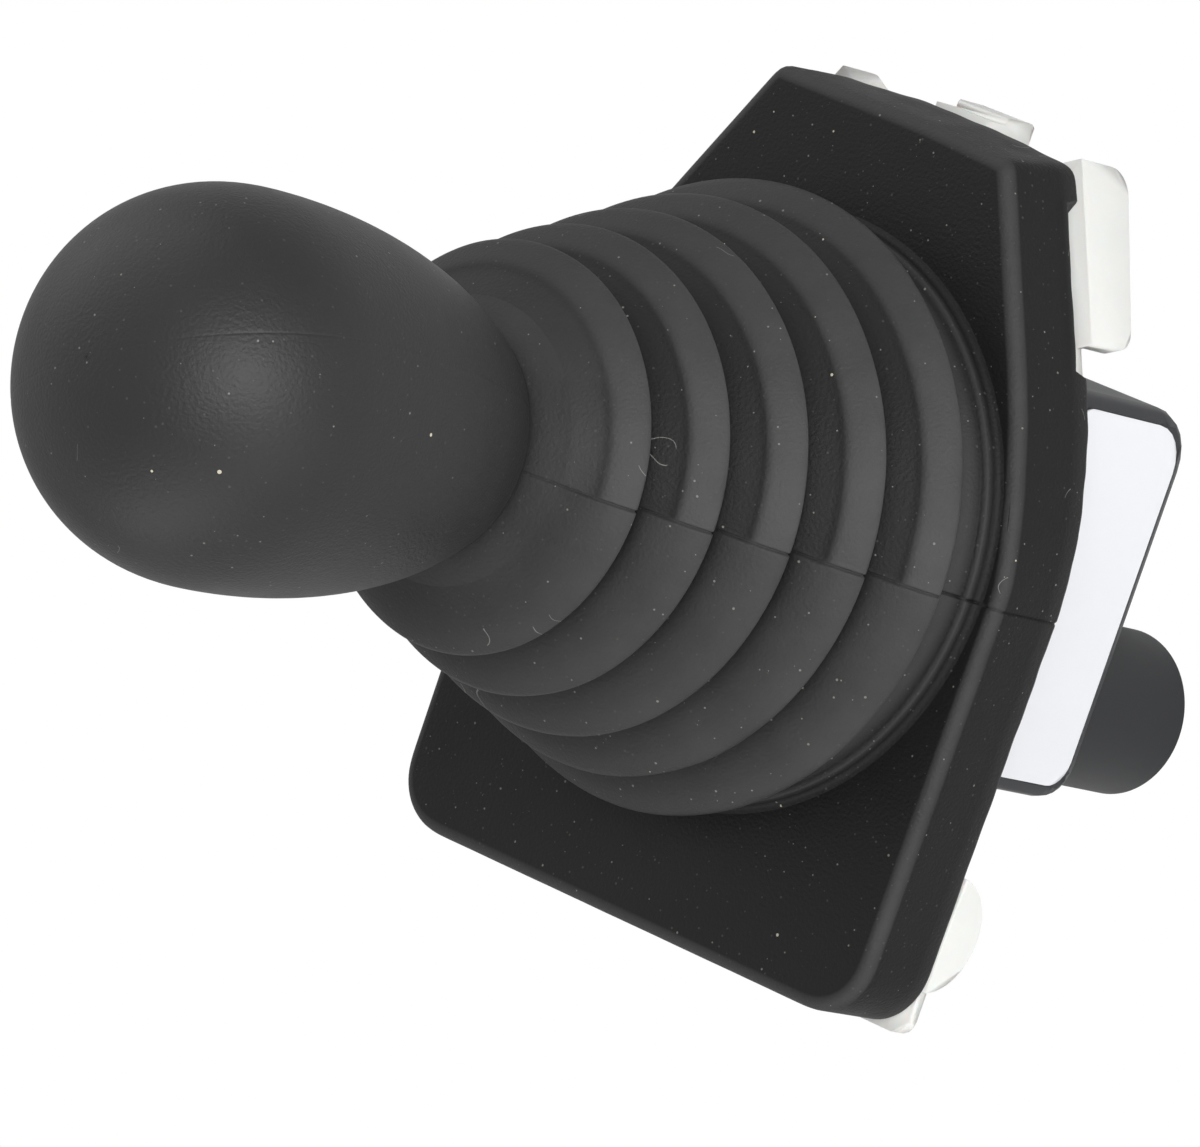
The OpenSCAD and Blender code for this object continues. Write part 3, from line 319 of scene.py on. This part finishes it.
# The folds, in mm. Columns crowd towards the seam on the +X side; "lipAt" is the lip's place along a fold.
# "bandEdge" is how softly the two kinds of fold meet. "rubAndLightAll" is how pale every side is drawn,
# partly from rubbing and partly as painted light, and "paintedLightSide" is the painted light that the +X
# side adds. "neckPaintedLight" is a painted highlight on the neck and first fold, up to "neckPaintedLightTo".
# "lowStart", "jointHeight" and "highEnd" are not used.
bellowsValues = {
    "folds": 5, "lipTopRadius": 24.3, "lipBaseRadius": 38.1, "lipTopHeight": 65.1, "lipBaseHeight": 24.1,
    "depth": 5.5, "drop": 3.6, "wall": 1.4, "columns": 320, "rowsPerFold": 50, "lipAt": 0.64,
    "crowding": 0.93, "seamDepth": 0.38, "seamWidth": 0.16, "waver": 0.25, "waverSize": 16.0,
    "waverRise": 3.0, "split": 3, "neckAt": 0.12, "lowStart": 16.5, "jointHeight": 41.0, "highEnd": 65.0,
    "sharp": 70, "bandEdge": 0.02, "curveLift": 0.5, "rubAndLightAll": 0.55, "paintedLightSide": 0.45, "neckPaintedLight": 0.6,
    "neckPaintedLightTo": 0.45,
}
# A fold's outside from the groove above to its own groove: share of the way, then outwards and upwards
# from its lip in mm. The +Y half has a flat band before the lip, and the -Y half is plainly round.
plainFold = [(0.0, -8.95, 6.65), (0.063, -8.2, 5.8), (0.12, -7.3, 5.35), (0.199, -6.0, 4.75),
             (0.284, -4.6, 4.1), (0.374, -3.2, 3.3), (0.47, -1.8, 2.3), (0.548, -0.8, 1.3),
             (0.604, -0.2, 0.5), (0.64, 0, -0.12), (0.682, -0.45, -0.75), (0.756, -1.6, -1.45),
             (0.932, -4.4, -3.05), (1.0, -5.5, -3.6)]
bandedFold = [(0.0, -8.95, 6.65), (0.063, -8.2, 5.8), (0.12, -7.3, 5.35), (0.194, -6.2, 4.6),
              (0.275, -5.0, 3.8), (0.332, -4.1, 3.3), (0.367, -3.5, 3.12), (0.403, -2.9, 2.9),
              (0.459, -2.1, 2.3), (0.526, -1.2, 1.5), (0.584, -0.5, 0.75), (0.64, 0, -0.12),
              (0.682, -0.45, -0.75), (0.756, -1.6, -1.45), (0.932, -4.4, -3.05), (1.0, -5.5, -3.6)]
# How pale each part of a fold is drawn, 0 in the groove and 1 on the lip: partly rubbed wear on the lip,
# partly painted shade in the groove and a painted highlight on the lip band.
plainRubAndLight = [(0.0, 0.0), (0.1, 0.0), (0.17, 0.25), (0.24, 0.5), (0.4, 0.65), (0.6, 0.75), (0.66, 0.6),
            (0.72, 0.1), (1.0, 0.0)]
bandedRubAndLight = [(0.0, 0.0), (0.15, 0.02), (0.3, 0.15), (0.35, 0.25), (0.4, 0.9), (0.5, 1.0), (0.62, 0.95),
             (0.66, 0.6), (0.72, 0.05), (1.0, 0.0)]


def shapeCurve(node, spots):
    curve = node.mapping.curves[0]
    while len(curve.points) < len(spots):
        curve.points.new(0.5, 0.5)
    for spot, place in zip(curve.points, spots):
        spot.location, spot.handle_type = place, "AUTO_CLAMPED"
    node.mapping.update()


def foldSpots(points, axis, given):  # how far out (axis 0) or up (axis 1) a point of the fold is, as a share
    stepOut = (given["lipBaseRadius"] - given["lipTopRadius"]) / (given["folds"] - 1)
    stepUp = (given["lipTopHeight"] - given["lipBaseHeight"]) / (given["folds"] - 1)
    spots = []
    for f, out, up in points:
        back = min(f / given["lipAt"] - 1, 0)
        if axis == 0:
            offset = (out - stepOut * back) / given["depth"]
        else:
            offset = (up + stepUp * back) / given["drop"]
        spots.append((f, (1 + offset + given["curveLift"]) / 2))
    return spots


def buildBellowsTree(given):
    tree = bpy.data.node_groups.new("bellowsFolds", "GeometryNodeTree")
    sizes = {"Columns": "NodeSocketInt", "Rows": "NodeSocketInt", "From Fold": "NodeSocketFloat",
             "To Fold": "NodeSocketFloat", "Folds": "NodeSocketFloat", "Top Lip Radius": "NodeSocketFloat",
             "Base Lip Radius": "NodeSocketFloat", "Top Lip Height": "NodeSocketFloat",
             "Base Lip Height": "NodeSocketFloat", "Fold Depth": "NodeSocketFloat",
             "Fold Drop": "NodeSocketFloat", "Seam Depth": "NodeSocketFloat", "Seam Width": "NodeSocketFloat",
             "Waver": "NodeSocketFloat", "Waver Size": "NodeSocketFloat", "Material": "NodeSocketMaterial"}
    tree.interface.new_socket("Geometry", in_out="OUTPUT", socket_type="NodeSocketGeometry")
    for name, kind in sizes.items():
        tree.interface.new_socket(name, in_out="INPUT", socket_type=kind)
    size = addNode(tree, "NodeGroupInput").outputs
    grid = addNode(tree, "GeometryNodeMeshGrid", links={
        "Size X": 1.0, "Size Y": 1.0, "Vertices X": size["Columns"], "Vertices Y": size["Rows"]})
    spot = addNode(tree, "ShaderNodeSeparateXYZ", links={
        0: addNode(tree, "GeometryNodeInputPosition").outputs[0]})
    # Each row below is one node: its result's name, its work, and what goes in, by number or by name.
    rows = [
        ("turnShare", "ADD", "x", 0.5),
        ("turn", "MULTIPLY", "turnShare", math.tau),
        ("turnSine", "SINE", "turn"),
        ("crowd", "MULTIPLY", "turnSine", given["crowding"]),
        ("angle", "SUBTRACT", "turn", "crowd"),
        ("side", "SINE", "angle"),
        ("ahead", "COSINE", "angle"),
        ("runShare", "ADD", "y", 0.5),
        ("runLength", "SUBTRACT", "To Fold", "From Fold"),
        ("run", "MULTIPLY_ADD", "runShare", "runLength", "From Fold"),
        ("runNudged", "ADD", "run", 1e-5),
        ("fold", "FLOOR", "runNudged"),
        ("along", "SUBTRACT", "run", "fold"),
        ("toLip", "DIVIDE", "along", given["lipAt"]),
        ("beforeLip", "SUBTRACT", "toLip", 1.0),
        ("back", "MINIMUM", "beforeLip", 0.0),
        ("foldsDown", "ADD", "fold", "back"),
        ("lastFold", "SUBTRACT", "Folds", 1.0),
        ("down", "DIVIDE", "foldsDown", "lastFold"),
        ("banded", "softStep", "side", -given["bandEdge"], given["bandEdge"], 0.0, 1.0),
    ]
    for way, amount in (("Radius", "Fold Depth"), ("Height", "Fold Drop")):
        rows += [
            ("plain" + way, "curve", 1.0, "along"),
            ("banded" + way, "curve", 1.0, "along"),
            ("more" + way, "SUBTRACT", "banded" + way, "plain" + way),
            ("curve" + way, "MULTIPLY_ADD", "more" + way, "banded", "plain" + way),
            ("gain" + way, "SUBTRACT", "Base Lip " + way, "Top Lip " + way),
            ("lip" + way, "MULTIPLY_ADD", "gain" + way, "down", "Top Lip " + way),
            ("bulge" + way, "MULTIPLY", "curve" + way, 2.0),
            ("lack" + way, "SUBTRACT", 1.0 + given["curveLift"], "bulge" + way),
            ("less" + way, "MULTIPLY", amount, "lack" + way),
            ("own" + way, "SUBTRACT", "lip" + way, "less" + way),
        ]
    rows += [
        ("ownX", "MULTIPLY", "ownRadius", "ahead"),
        ("ownY", "MULTIPLY", "ownRadius", "side"),
        ("ownPlace", "join", "ownX", "ownY", "ownHeight"),
        ("waverScale", "DIVIDE", 1.0, "Waver Size"),
        ("noise", "noise", "ownPlace", 0.0, "waverScale", 1.0),
        ("across", "DIVIDE", "ownY", "Seam Width"),
        ("acrossSquare", "MULTIPLY", "across", "across"),
        ("acrossLess", "MULTIPLY", "acrossSquare", -1.0),
        ("bell", "EXPONENT", "acrossLess"),
        ("isAhead", "GREATER_THAN", "ahead", 0.0),
        ("groove", "MULTIPLY", "bell", "isAhead"),
        ("fromNeck", "SUBTRACT", "run", given["neckAt"]),
        ("freed", "MULTIPLY", "fromNeck", given["waverRise"]),
        ("free", "MINIMUM", "freed", 1.0),
        ("noiseLevel", "SUBTRACT", "noise", 0.5),
        ("waverFree", "MULTIPLY", "Waver", "free"),
        ("waver", "MULTIPLY", "noiseLevel", "waverFree"),
        ("wavedRadius", "ADD", "ownRadius", "waver"),
        ("grooveDepth", "MULTIPLY", "groove", "Seam Depth"),
        ("radius", "SUBTRACT", "wavedRadius", "grooveDepth"),
        ("placeX", "MULTIPLY", "radius", "ahead"),
        ("placeY", "MULTIPLY", "radius", "side"),
        ("place", "join", "placeX", "placeY", "ownHeight"),
        # How pale each point is drawn: rubbed lips, with painted shade down in the grooves and a painted
        # highlight on the lip bands.
        ("plainRubAndLight", "curve", 1.0, "along"),
        ("bandedRubAndLight", "curve", 1.0, "along"),
        ("moreRubAndLight", "SUBTRACT", "bandedRubAndLight", "plainRubAndLight"),
        ("foldRubAndLight", "MULTIPLY_ADD", "moreRubAndLight", "banded", "plainRubAndLight"),
        # The +X side is drawn paler as painted light, and the neck as a painted highlight where it faces the
        # light.
        ("onlyAhead", "MAXIMUM", "ahead", 0.0),
        ("paintedLightBySide", "MULTIPLY_ADD", "onlyAhead", given["paintedLightSide"], given["rubAndLightAll"]),
        ("isNeck", "LESS_THAN", "run", given["neckPaintedLightTo"]),
        ("neckPaintedLight", "MULTIPLY", "isNeck", given["neckPaintedLight"]),
        ("mostRubAndLight", "MAXIMUM", "foldRubAndLight", "neckPaintedLight"),
        ("rubAndPaintedLight", "MULTIPLY", "mostRubAndLight", "paintedLightBySide"),
    ]
    kinds = {"curve": ("ShaderNodeFloatCurve", {}), "join": ("ShaderNodeCombineXYZ", {}),
             "softStep": ("ShaderNodeMapRange", {"interpolation_type": "SMOOTHSTEP"}),
             "noise": ("ShaderNodeTexNoise", {"noise_dimensions": "3D"})}
    known = {"x": spot.outputs[0], "y": spot.outputs[1]}
    known.update((name, size[name]) for name in sizes)
    for name, work, *inputs in rows:
        kind, settings = kinds.get(work, ("ShaderNodeMath", {"operation": work}))
        links = {k: known.get(value, value) for k, value in enumerate(inputs)}
        known[name] = addNode(tree, kind, settings, links).outputs[0]
    for axis, way in enumerate(("Radius", "Height")):
        shapeCurve(known["plain" + way].node, foldSpots(plainFold, axis, given))
        shapeCurve(known["banded" + way].node, foldSpots(bandedFold, axis, given))
    shapeCurve(known["plainRubAndLight"].node, plainRubAndLight)
    shapeCurve(known["bandedRubAndLight"].node, bandedRubAndLight)
    storedRubAndLight = addNode(tree, "GeometryNodeStoreNamedAttribute", {"data_type": "FLOAT", "domain": "POINT"},
                   {"Geometry": grid.outputs[0], "Name": "rubAndPaintedLight", "Value": known["rubAndPaintedLight"]})
    moved = addNode(tree, "GeometryNodeSetPosition", links={0: storedRubAndLight.outputs[0], "Position": known["place"]})
    closed = addNode(tree, "GeometryNodeMergeByDistance", links={0: moved.outputs[0], "Distance": 1e-6})
    outward = addNode(tree, "GeometryNodeFlipFaces", links={0: closed.outputs[0]})
    smooth = addNode(tree, "GeometryNodeSetShadeSmooth", links={0: outward.outputs[0]})
    whole = addNode(tree, "GeometryNodeRealizeInstances", links={0: smooth.outputs[0]})
    painted = addNode(tree, "GeometryNodeSetMaterial", links={
        0: whole.outputs[0], "Material": size["Material"]})
    addNode(tree, "NodeGroupOutput", links={0: painted.outputs[0]})
    return tree


def bellowsPiece(name, tree, given, first, last):
    piece = meshObject(name, [], [])
    change = piece.modifiers.new("folds", "NODES")
    change.node_group = tree
    values = {"Columns": given["columns"] + 1, "Rows": round(given["rowsPerFold"] * (last - first)) + 1,
              "From Fold": float(first), "To Fold": float(last), "Folds": float(given["folds"]),
              "Top Lip Radius": given["lipTopRadius"] * mm, "Base Lip Radius": given["lipBaseRadius"] * mm,
              "Top Lip Height": given["lipTopHeight"] * mm, "Base Lip Height": given["lipBaseHeight"] * mm,
              "Fold Depth": given["depth"] * mm, "Fold Drop": given["drop"] * mm,
              "Seam Depth": given["seamDepth"] * mm, "Seam Width": given["seamWidth"] * mm,
              "Waver": given["waver"] * mm, "Waver Size": given["waverSize"] * mm,
              "Material": materials["epdmRubber"]}
    for item in tree.interface.items_tree:
        if item.item_type == "SOCKET" and item.in_out == "INPUT":
            change[item.identifier] = values[item.name]
    applyModifiers(piece)
    wall = piece.modifiers.new("wall", "SOLIDIFY")
    wall.thickness, wall.offset = given["wall"] * mm, -1.0
    applyModifiers(piece)
    sharpByAngle(piece, given["sharp"])
    return piece


bellowsTree = buildBellowsTree(bellowsValues)
lowFolds = bellowsPiece("bellowsLow", bellowsTree, bellowsValues, bellowsValues["split"],
                        bellowsValues["folds"])
highFolds = bellowsPiece("bellowsHigh", bellowsTree, bellowsValues, bellowsValues["neckAt"],
                         bellowsValues["split"])
print("bellows are folded:", len(lowFolds.data.polygons) + len(highFolds.data.polygons), "faces")


def lathe(name, profile, given):  # turns a closed profile about the axis: radius and height in mm, and how pale it is drawn, from rubbing and painted light
    t = np.arange(given["columns"]) * math.tau / given["columns"]
    away = t - given["crowding"] / given["seams"] * np.sin(given["seams"] * t)
    angles = away + math.radians(given["seamAt"])
    ahead = 1.0 if given["seams"] == 2 else (np.cos(away) > 0)
    rows = []
    for spot in profile:
        r = spot[0] - given["seamDepth"] * ahead * np.exp(-(spot[0] * np.sin(away) / given["seamWidth"]) ** 2)
        rows.append(np.column_stack([r * np.cos(angles), r * np.sin(angles), np.full(len(r), spot[1])]) * mm)
    rubsAndLight = np.repeat([spot[2] if len(spot) > 2 else 0.0 for spot in profile], given["columns"])
    return ringsObject(name, rows, rubsAndLight)


def ringsObject(name, rows, rubsAndLight):  # a closed piece from rings of points; the last ring joins the first
    total = len(rows) * len(rows[0])
    faces = [tuple(k % total for k in face) for face in gridFaces(len(rows) + 1, len(rows[0]))]
    piece = meshObject(name, np.concatenate(rows), faces)
    storedRubAndLight = piece.data.attributes.new("rubAndPaintedLight", "FLOAT", "POINT")
    storedRubAndLight.data.foreach_set("value", np.asarray(rubsAndLight, dtype=float))
    mesh = bmesh.new()
    mesh.from_mesh(piece.data)
    bmesh.ops.remove_doubles(mesh, verts=mesh.verts, dist=1e-7)
    bmesh.ops.recalc_face_normals(mesh, faces=mesh.faces)
    mesh.to_mesh(piece.data)
    mesh.free()
    piece.data.shade_smooth()
    sharpByAngle(piece, 50)
    return piece


def smoothProfile(points, parts=6):  # Catmull-Rom through profile points
    result = []
    padded = [points[0]] + points + [points[-1]]
    for a, b, c, d in zip(padded, padded[1:], padded[2:], padded[3:]):
        for k in range(parts):
            t = k / parts
            result.append(tuple(0.5 * (2 * q + (r - p) * t + (2 * p - 5 * q + 4 * r - s) * t * t
                                       + (3 * q - p - 3 * r + s) * t ** 3) for p, q, r, s in zip(a, b, c, d)))
    return result + [points[-1]]


# Where the bellows end: down to the flange with one fine ridge, and up to the knob. Third value: how pale it
# is drawn, as painted light: a painted highlight on the foot's band and ridge, painted shade in its dips, and
# the neck painted paler where it faces the light.
footOutside = [(32.6, 20.5, 0.1), (32.95, 19.3, 0.3), (33.5, 18.3, 0.55), (34.2, 17.3, 0.55),
               (34.7, 16.55, 0.2), (34.95, 16.2, 0.0), (35.35, 16.0, 0.3), (35.7, 15.75, 0.5),
               (35.8, 15.3, 0.3), (35.85, 14.7, 0.0), (36.2, 14.2, 0.0), (36.9, 13.95, 0.1),
               (37.6, 13.8, 0.1)]
footInside = [(37.6, 12.6), (34.0, 12.6), (31.4, 17.0), (31.2, 20.5)]
neckOutside = [(11.0, 73.4, 0.3), (11.4, 73.1, 0.4), (12.4, 72.65, 0.5), (14.0, 71.95, 0.55),
               (15.6, 71.15, 0.6), (17.0, 70.45, 0.6)]
neckInside = [(16.6, 69.3), (13.6, 70.6), (11.2, 71.6), (10.4, 73.2)]
endValues = {"columns": bellowsValues["columns"], "crowding": bellowsValues["crowding"], "seams": 1,
             "seamAt": 0, "seamDepth": bellowsValues["seamDepth"], "seamWidth": bellowsValues["seamWidth"]}
foot = lathe("bellowsFoot", smoothProfile(footOutside) + footInside, endValues)
neck = lathe("bellowsNeck", smoothProfile(neckOutside) + neckInside, endValues)
for piece in (foot, neck):
    dress(piece, "epdmRubber")

# The moulded flange that snaps over the base: its outline is the solid's own, from below its top edge.
# Sizes in mm. "draft" is how far the slanted sides lean in, on the +X side and on the other.
# "lipRows" rounds the skirt's lower edge: inset, height above the end, and rub. "waves" is count and share.
# "edgePaintedHighlight" is a painted highlight along the rounded top edge.
flangeValues = {
    "hole": 35.5, "top": 14.0, "edge": 1.7, "skirtEnd": 2.0, "wall": 2.4, "roof": 3.0, "samples": 520,
    "draft": (2.1, 1.0), "skirtDraft": 0.5, "draftFrom": 4.0, "draftTo": 26.0, "waver": 0.05,
    "notch": 2.0, "notchFrom": 28.8, "notchTo": 47.5, "edgePaintedHighlight": 0.7, "seamDepth": 0.22, "seamWidth": 0.16,
    "outlineBelow": 10.0, "smoothing": 3, "topShares": (0, 0.3, 0.6, 0.85), "edgeRows": 8,
    "sideRows": (9.0, 6.5, 5.0), "lipRows": ((0.0, 0.5, 0.2), (0.12, 0.12, 0.6), (0.4, 0.0, 0.3)),
    "innerRound": 0.3, "waves": ((23, 1.0), (57, 0.6)), "seamRows": (0, 0.0015, 0.003, 0.005, 0.008, 0.012),
}


def hullOutline(node, belowHeight):  # the outline of a node seen from above, anticlockwise
    mesh = bmesh.new()
    for v in node.data.vertices:
        if v.co.z < belowHeight:
            mesh.verts.new((v.co.x, v.co.y, 0))
    bmesh.ops.remove_doubles(mesh, verts=mesh.verts, dist=1e-6)
    spots = sorted({(v.co.x, v.co.y) for v in mesh.verts})
    mesh.free()

    def half(points):
        kept = []
        for p in points:
            while len(kept) > 1 and ((kept[-1][0] - kept[-2][0]) * (p[1] - kept[-2][1])
                                     - (kept[-1][1] - kept[-2][1]) * (p[0] - kept[-2][0])) <= 0:
                kept.pop()
            kept.append(p)
        return kept[:-1]

    return half(spots) + half(spots[::-1])


def evenLoop(points, count, smoothing):  # the same closed outline with evenly spaced points, from the +X side
    loop = np.array(points + points[:1])
    run = np.concatenate([[0], np.cumsum(np.hypot(*np.diff(loop, axis=0).T))])
    fine = np.linspace(0, run[-1], count, endpoint=False)
    even = np.stack([np.interp(fine, run, loop[:, k]) for k in (0, 1)], axis=1)
    for _ in range(smoothing):
        even = (np.roll(even, 1, 0) + 2 * even + np.roll(even, -1, 0)) / 4
    angles = np.arctan2(even[:, 1], even[:, 0]) % math.tau
    return np.roll(even, -int(np.argmin(angles)), axis=0)


def buildFlange(given):
    outline = hullOutline(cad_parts["bellows"], given["outlineBelow"] * mm)
    hull = evenLoop([(x / mm, y / mm) for x, y in outline], given["samples"], given["smoothing"])
    around = np.arctan2(hull[:, 1], hull[:, 0])
    ahead = np.roll(hull, -1, 0) - np.roll(hull, 1, 0)
    ahead /= np.linalg.norm(ahead, axis=1)[:, None]
    outward = np.stack([ahead[:, 1], -ahead[:, 0]], axis=1)
    off = np.sum(hull * outward, axis=1)
    beside = np.array(given["seamRows"])
    angles = np.unique(np.concatenate([around, beside, -beside]))
    way = np.stack([np.cos(angles), np.sin(angles)], axis=1)
    facing = way @ outward.T
    slant = np.clip((hull[:, 1] - given["draftFrom"]) / (given["draftTo"] - given["draftFrom"]), 0, 1)
    slant = slant * slant * (3 - 2 * slant)
    draft = np.where(hull[:, 0] > 0, *given["draft"]) * slant  # the slanted sides lean in towards the top
    apart = np.abs((around - angles[:, None] + math.pi) % math.tau - math.pi)
    nearest = np.argmin(apart, axis=1)
    notched = (hull[nearest, 1] > given["notchFrom"]) & (hull[nearest, 1] < given["notchTo"])
    end = given["skirtEnd"] + given["notch"] * notched
    rows, rubsAndLight = [], []

    def addRow(inset, height, rubAndPaintedLight=0.0, share=1.0):
        height = np.broadcast_to(height, len(angles)).astype(float)
        up = np.clip((np.mean(height) - given["skirtEnd"]) / (given["top"] - given["skirtEnd"]), 0, 1)
        lean = inset + draft * up + given["skirtDraft"] * slant * (1 - up)
        r = np.min(np.where(facing > 0.05, (off - lean) / np.maximum(facing, 0.05), 1e9), axis=1)
        r = given["hole"] + (r - given["hole"]) * share
        (slow, most), (quick, less) = given["waves"]
        wave = most * np.sin(slow * angles + 1) + less * np.sin(quick * angles) - 1
        r = r + given["waver"] * (1 - up) * wave
        dip = given["seamDepth"] * np.exp(-(r * np.sin(angles) / given["seamWidth"]) ** 2)
        dip = dip * (np.cos(angles) > 0)
        flat = (height > given["top"] - 0.5) | (share < 1)
        r, height = r - dip * ~flat, height - dip * flat
        rows.append(np.column_stack([way * r[:, None], height]) * mm)
        rubsAndLight.extend([rubAndPaintedLight] * len(angles))

    last = given["edgeRows"]
    ceiling = given["top"] - given["roof"]
    for share in given["topShares"]:
        addRow(given["edge"], given["top"], 0.0, share)
    # The rounded top edge is drawn paler in its middle rows: a painted highlight.
    for k in range(last + 1):
        a = math.pi / 2 * k / last
        addRow(given["edge"] * (1 - math.sin(a)), given["top"] - given["edge"] * (1 - math.cos(a)),
               given["edgePaintedHighlight"] * math.sin(2 * a) ** 0.5 if 0 < k < last else 0.0)
    for height in given["sideRows"]:
        addRow(0.0, height)
    for inset, above, rubAndPaintedLight in given["lipRows"]:
        addRow(inset, end + above, rubAndPaintedLight)
    addRow(given["wall"] - given["innerRound"], end)
    addRow(given["wall"], end + given["innerRound"])
    addRow(given["wall"], ceiling)
    addRow(given["wall"], ceiling, 0.0, 0)
    return ringsObject("flange", rows, rubsAndLight)


flange = buildFlange(flangeValues)
dress(flange, "epdmRubber")
print("flange is moulded")

# Knob: a ball that draws in to a stem. Above the widest ring and below it the curves differ.
knobValues = {
    "radius": 23.0, "middle": 111.7, "up": 23.3, "rimHeight": 74.1, "upPower": 2.2, "taper": 47.4,
    "rows": 60, "columns": 288, "rimRoll": 0.8, "rollRows": 6, "rimWidth": 2.2, "rimStep": 0.2,
    "closeAbove": 0.3, "axis": 0.001,
    "crowding": 0.93, "seams": 2, "seamAt": 30, "seamDepth": 0.05, "seamWidth": 0.14,
}


def buildKnob(given):
    profile = []
    for k in range(given["rows"] + 1):
        a = math.pi / 2 * k / given["rows"]
        profile.append((given["radius"] * math.sin(a) ** (2 / given["upPower"]),
                        given["middle"] + given["up"] * math.cos(a) ** (2 / given["upPower"])))
    profile[0] = (given["axis"], given["middle"] + given["up"])
    low = given["rimHeight"] + given["rimRoll"]
    for k in range(1, given["rows"] + 1):
        z = given["middle"] + (low - given["middle"]) * k / given["rows"]
        narrowing = ((given["middle"] - z) / given["taper"]) ** 2
        profile.append((given["radius"] * math.sqrt(max(1 - narrowing, 0)), z))
    edge = profile[-1][0]
    for k in range(1, given["rollRows"] + 1):
        a = math.pi / 2 * k / given["rollRows"]
        profile.append((edge - given["rimRoll"] * (1 - math.cos(a)), low - given["rimRoll"] * math.sin(a)))
    inner, closing = edge - given["rimWidth"], given["rimHeight"] + given["closeAbove"]
    profile += [(inner, given["rimHeight"]), (inner - given["rimStep"], closing), (given["axis"], closing)]
    return lathe("knobSkin", profile, given)


knob = buildKnob(knobValues)
dress(knob, "softTouch")
print("knob is turned")

# Moulded and turned pieces whose solid is right keep it, with its round corners shaded round.
roundedValues = {"housing": 40, "base_plate": 40, "label_plate": 40, "connector_shell": 40}


def roundedCopy(name, degrees):
    piece = meshObject(name + "Skin", [], [])
    mesh = bmesh.new()
    mesh.from_mesh(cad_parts[name].data)
    bmesh.ops.remove_doubles(mesh, verts=mesh.verts, dist=2e-6)
    mesh.to_mesh(piece.data)
    mesh.free()
    piece.data.shade_smooth()
    sharpByAngle(piece, degrees)
    even = piece.modifiers.new("even", "WEIGHTED_NORMAL")
    even.keep_sharp = True
    applyModifiers(piece)
    dress(piece, nodeFinish[name])
    return piece


rounded = {name: roundedCopy(name, degrees) for name, degrees in roundedValues.items()}
print("rounded pieces are smoothed:", ", ".join(rounded))

for piece in (lowFolds, foot):
    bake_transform(piece)
for piece in (highFolds, neck):
    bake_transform(piece)
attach(flange, "base")
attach(knob, "lever")
for piece in (lowFolds, highFolds, foot, neck, flange):
    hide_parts("bellows")
for name, piece in rounded.items():
    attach(piece, "base")
    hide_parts(name)
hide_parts("knob")

# Shades of floor and world; half the floor's side, and the height that the lamps look at, in m.
stageValues = {"floor": "f4f4f4", "world": 0.12, "floorHalf": 3, "aim": 0.05}
# Where each lamp stands, seen from the object, how far off it is, its width and height in m, and its watts.
softboxes = {
    "key": ((0.72, 0.277, 0.636), 0.9, (0.5, 0.95), 7.6),
    "side": ((0.95, -0.25, 0.12), 1.0, (0.7, 0.7), 1.8),
    "low": ((0.25, -0.95, 0.1), 1.3, (1.7, 1.7), 11.0),
    "rear": ((-0.75, 0.55, 0.35), 1.3, (1.8, 1.8), 6.0),
}


def addSoftbox(name, towards, away, size, power):
    data = bpy.data.lights.new(name, "AREA")
    data.shape, data.size, data.size_y, data.energy = "ELLIPSE", *size, power
    lamp = bpy.data.objects.new(name, data)
    scene.collection.objects.link(lamp)
    way = Vector(towards).normalized()
    lamp.location = way * away + Vector((0, 0, stageValues["aim"]))
    lamp.rotation_euler = way.to_track_quat("Z", "Y").to_euler()


for name, (towards, away, size, power) in softboxes.items():
    addSoftbox(name, towards, away, size, power)

world = bpy.data.worlds.new("studio")
scene.world = world
world.use_nodes = True
sky = world.node_tree
sky.nodes.clear()
rays = addNode(sky, "ShaderNodeLightPath")
direct = addNode(sky, "ShaderNodeMath", {"operation": "MAXIMUM"},
                 {0: rays.outputs["Is Camera Ray"], 1: rays.outputs["Is Glossy Ray"]})
seen = addNode(sky, "ShaderNodeMath", {"operation": "MAXIMUM"},
               {0: direct.outputs[0], 1: rays.outputs["Is Transmission Ray"]})
strength = addNode(sky, "ShaderNodeMapRange", links={
    0: seen.outputs[0], 1: 0.0, 2: 1.0, 3: stageValues["world"], 4: 1.0})
glow = addNode(sky, "ShaderNodeBackground", links={"Color": (1, 1, 1, 1), "Strength": strength.outputs[0]})
addNode(sky, "ShaderNodeOutputWorld", links={0: glow.outputs[0]})

floorHeight = cadBox[0][2]
half = stageValues["floorHalf"]
corners = [(x, y, floorHeight) for x, y in ((-half, -half), (half, -half), (half, half), (-half, half))]
floor = meshObject("floor", corners, [(0, 1, 2, 3)])
paper = bpy.data.materials.new("whitePaper")
paper.use_nodes = True
tree = paper.node_tree
tree.nodes.clear()
rays = addNode(tree, "ShaderNodeLightPath")
matt = addNode(tree, "ShaderNodeBsdfDiffuse", links={"Color": linear(stageValues["floor"])})
lit = addNode(tree, "ShaderNodeEmission", links={"Color": (1, 1, 1, 1), "Strength": 1.0})
both = addNode(tree, "ShaderNodeMixShader", links={
    0: rays.outputs["Is Camera Ray"], 1: matt.outputs[0], 2: lit.outputs[0]})
addNode(tree, "ShaderNodeOutputMaterial", links={0: both.outputs[0]})
floor.data.materials.append(paper)
scene.view_settings.view_transform = "Standard"
print("lights, world and floor are set")
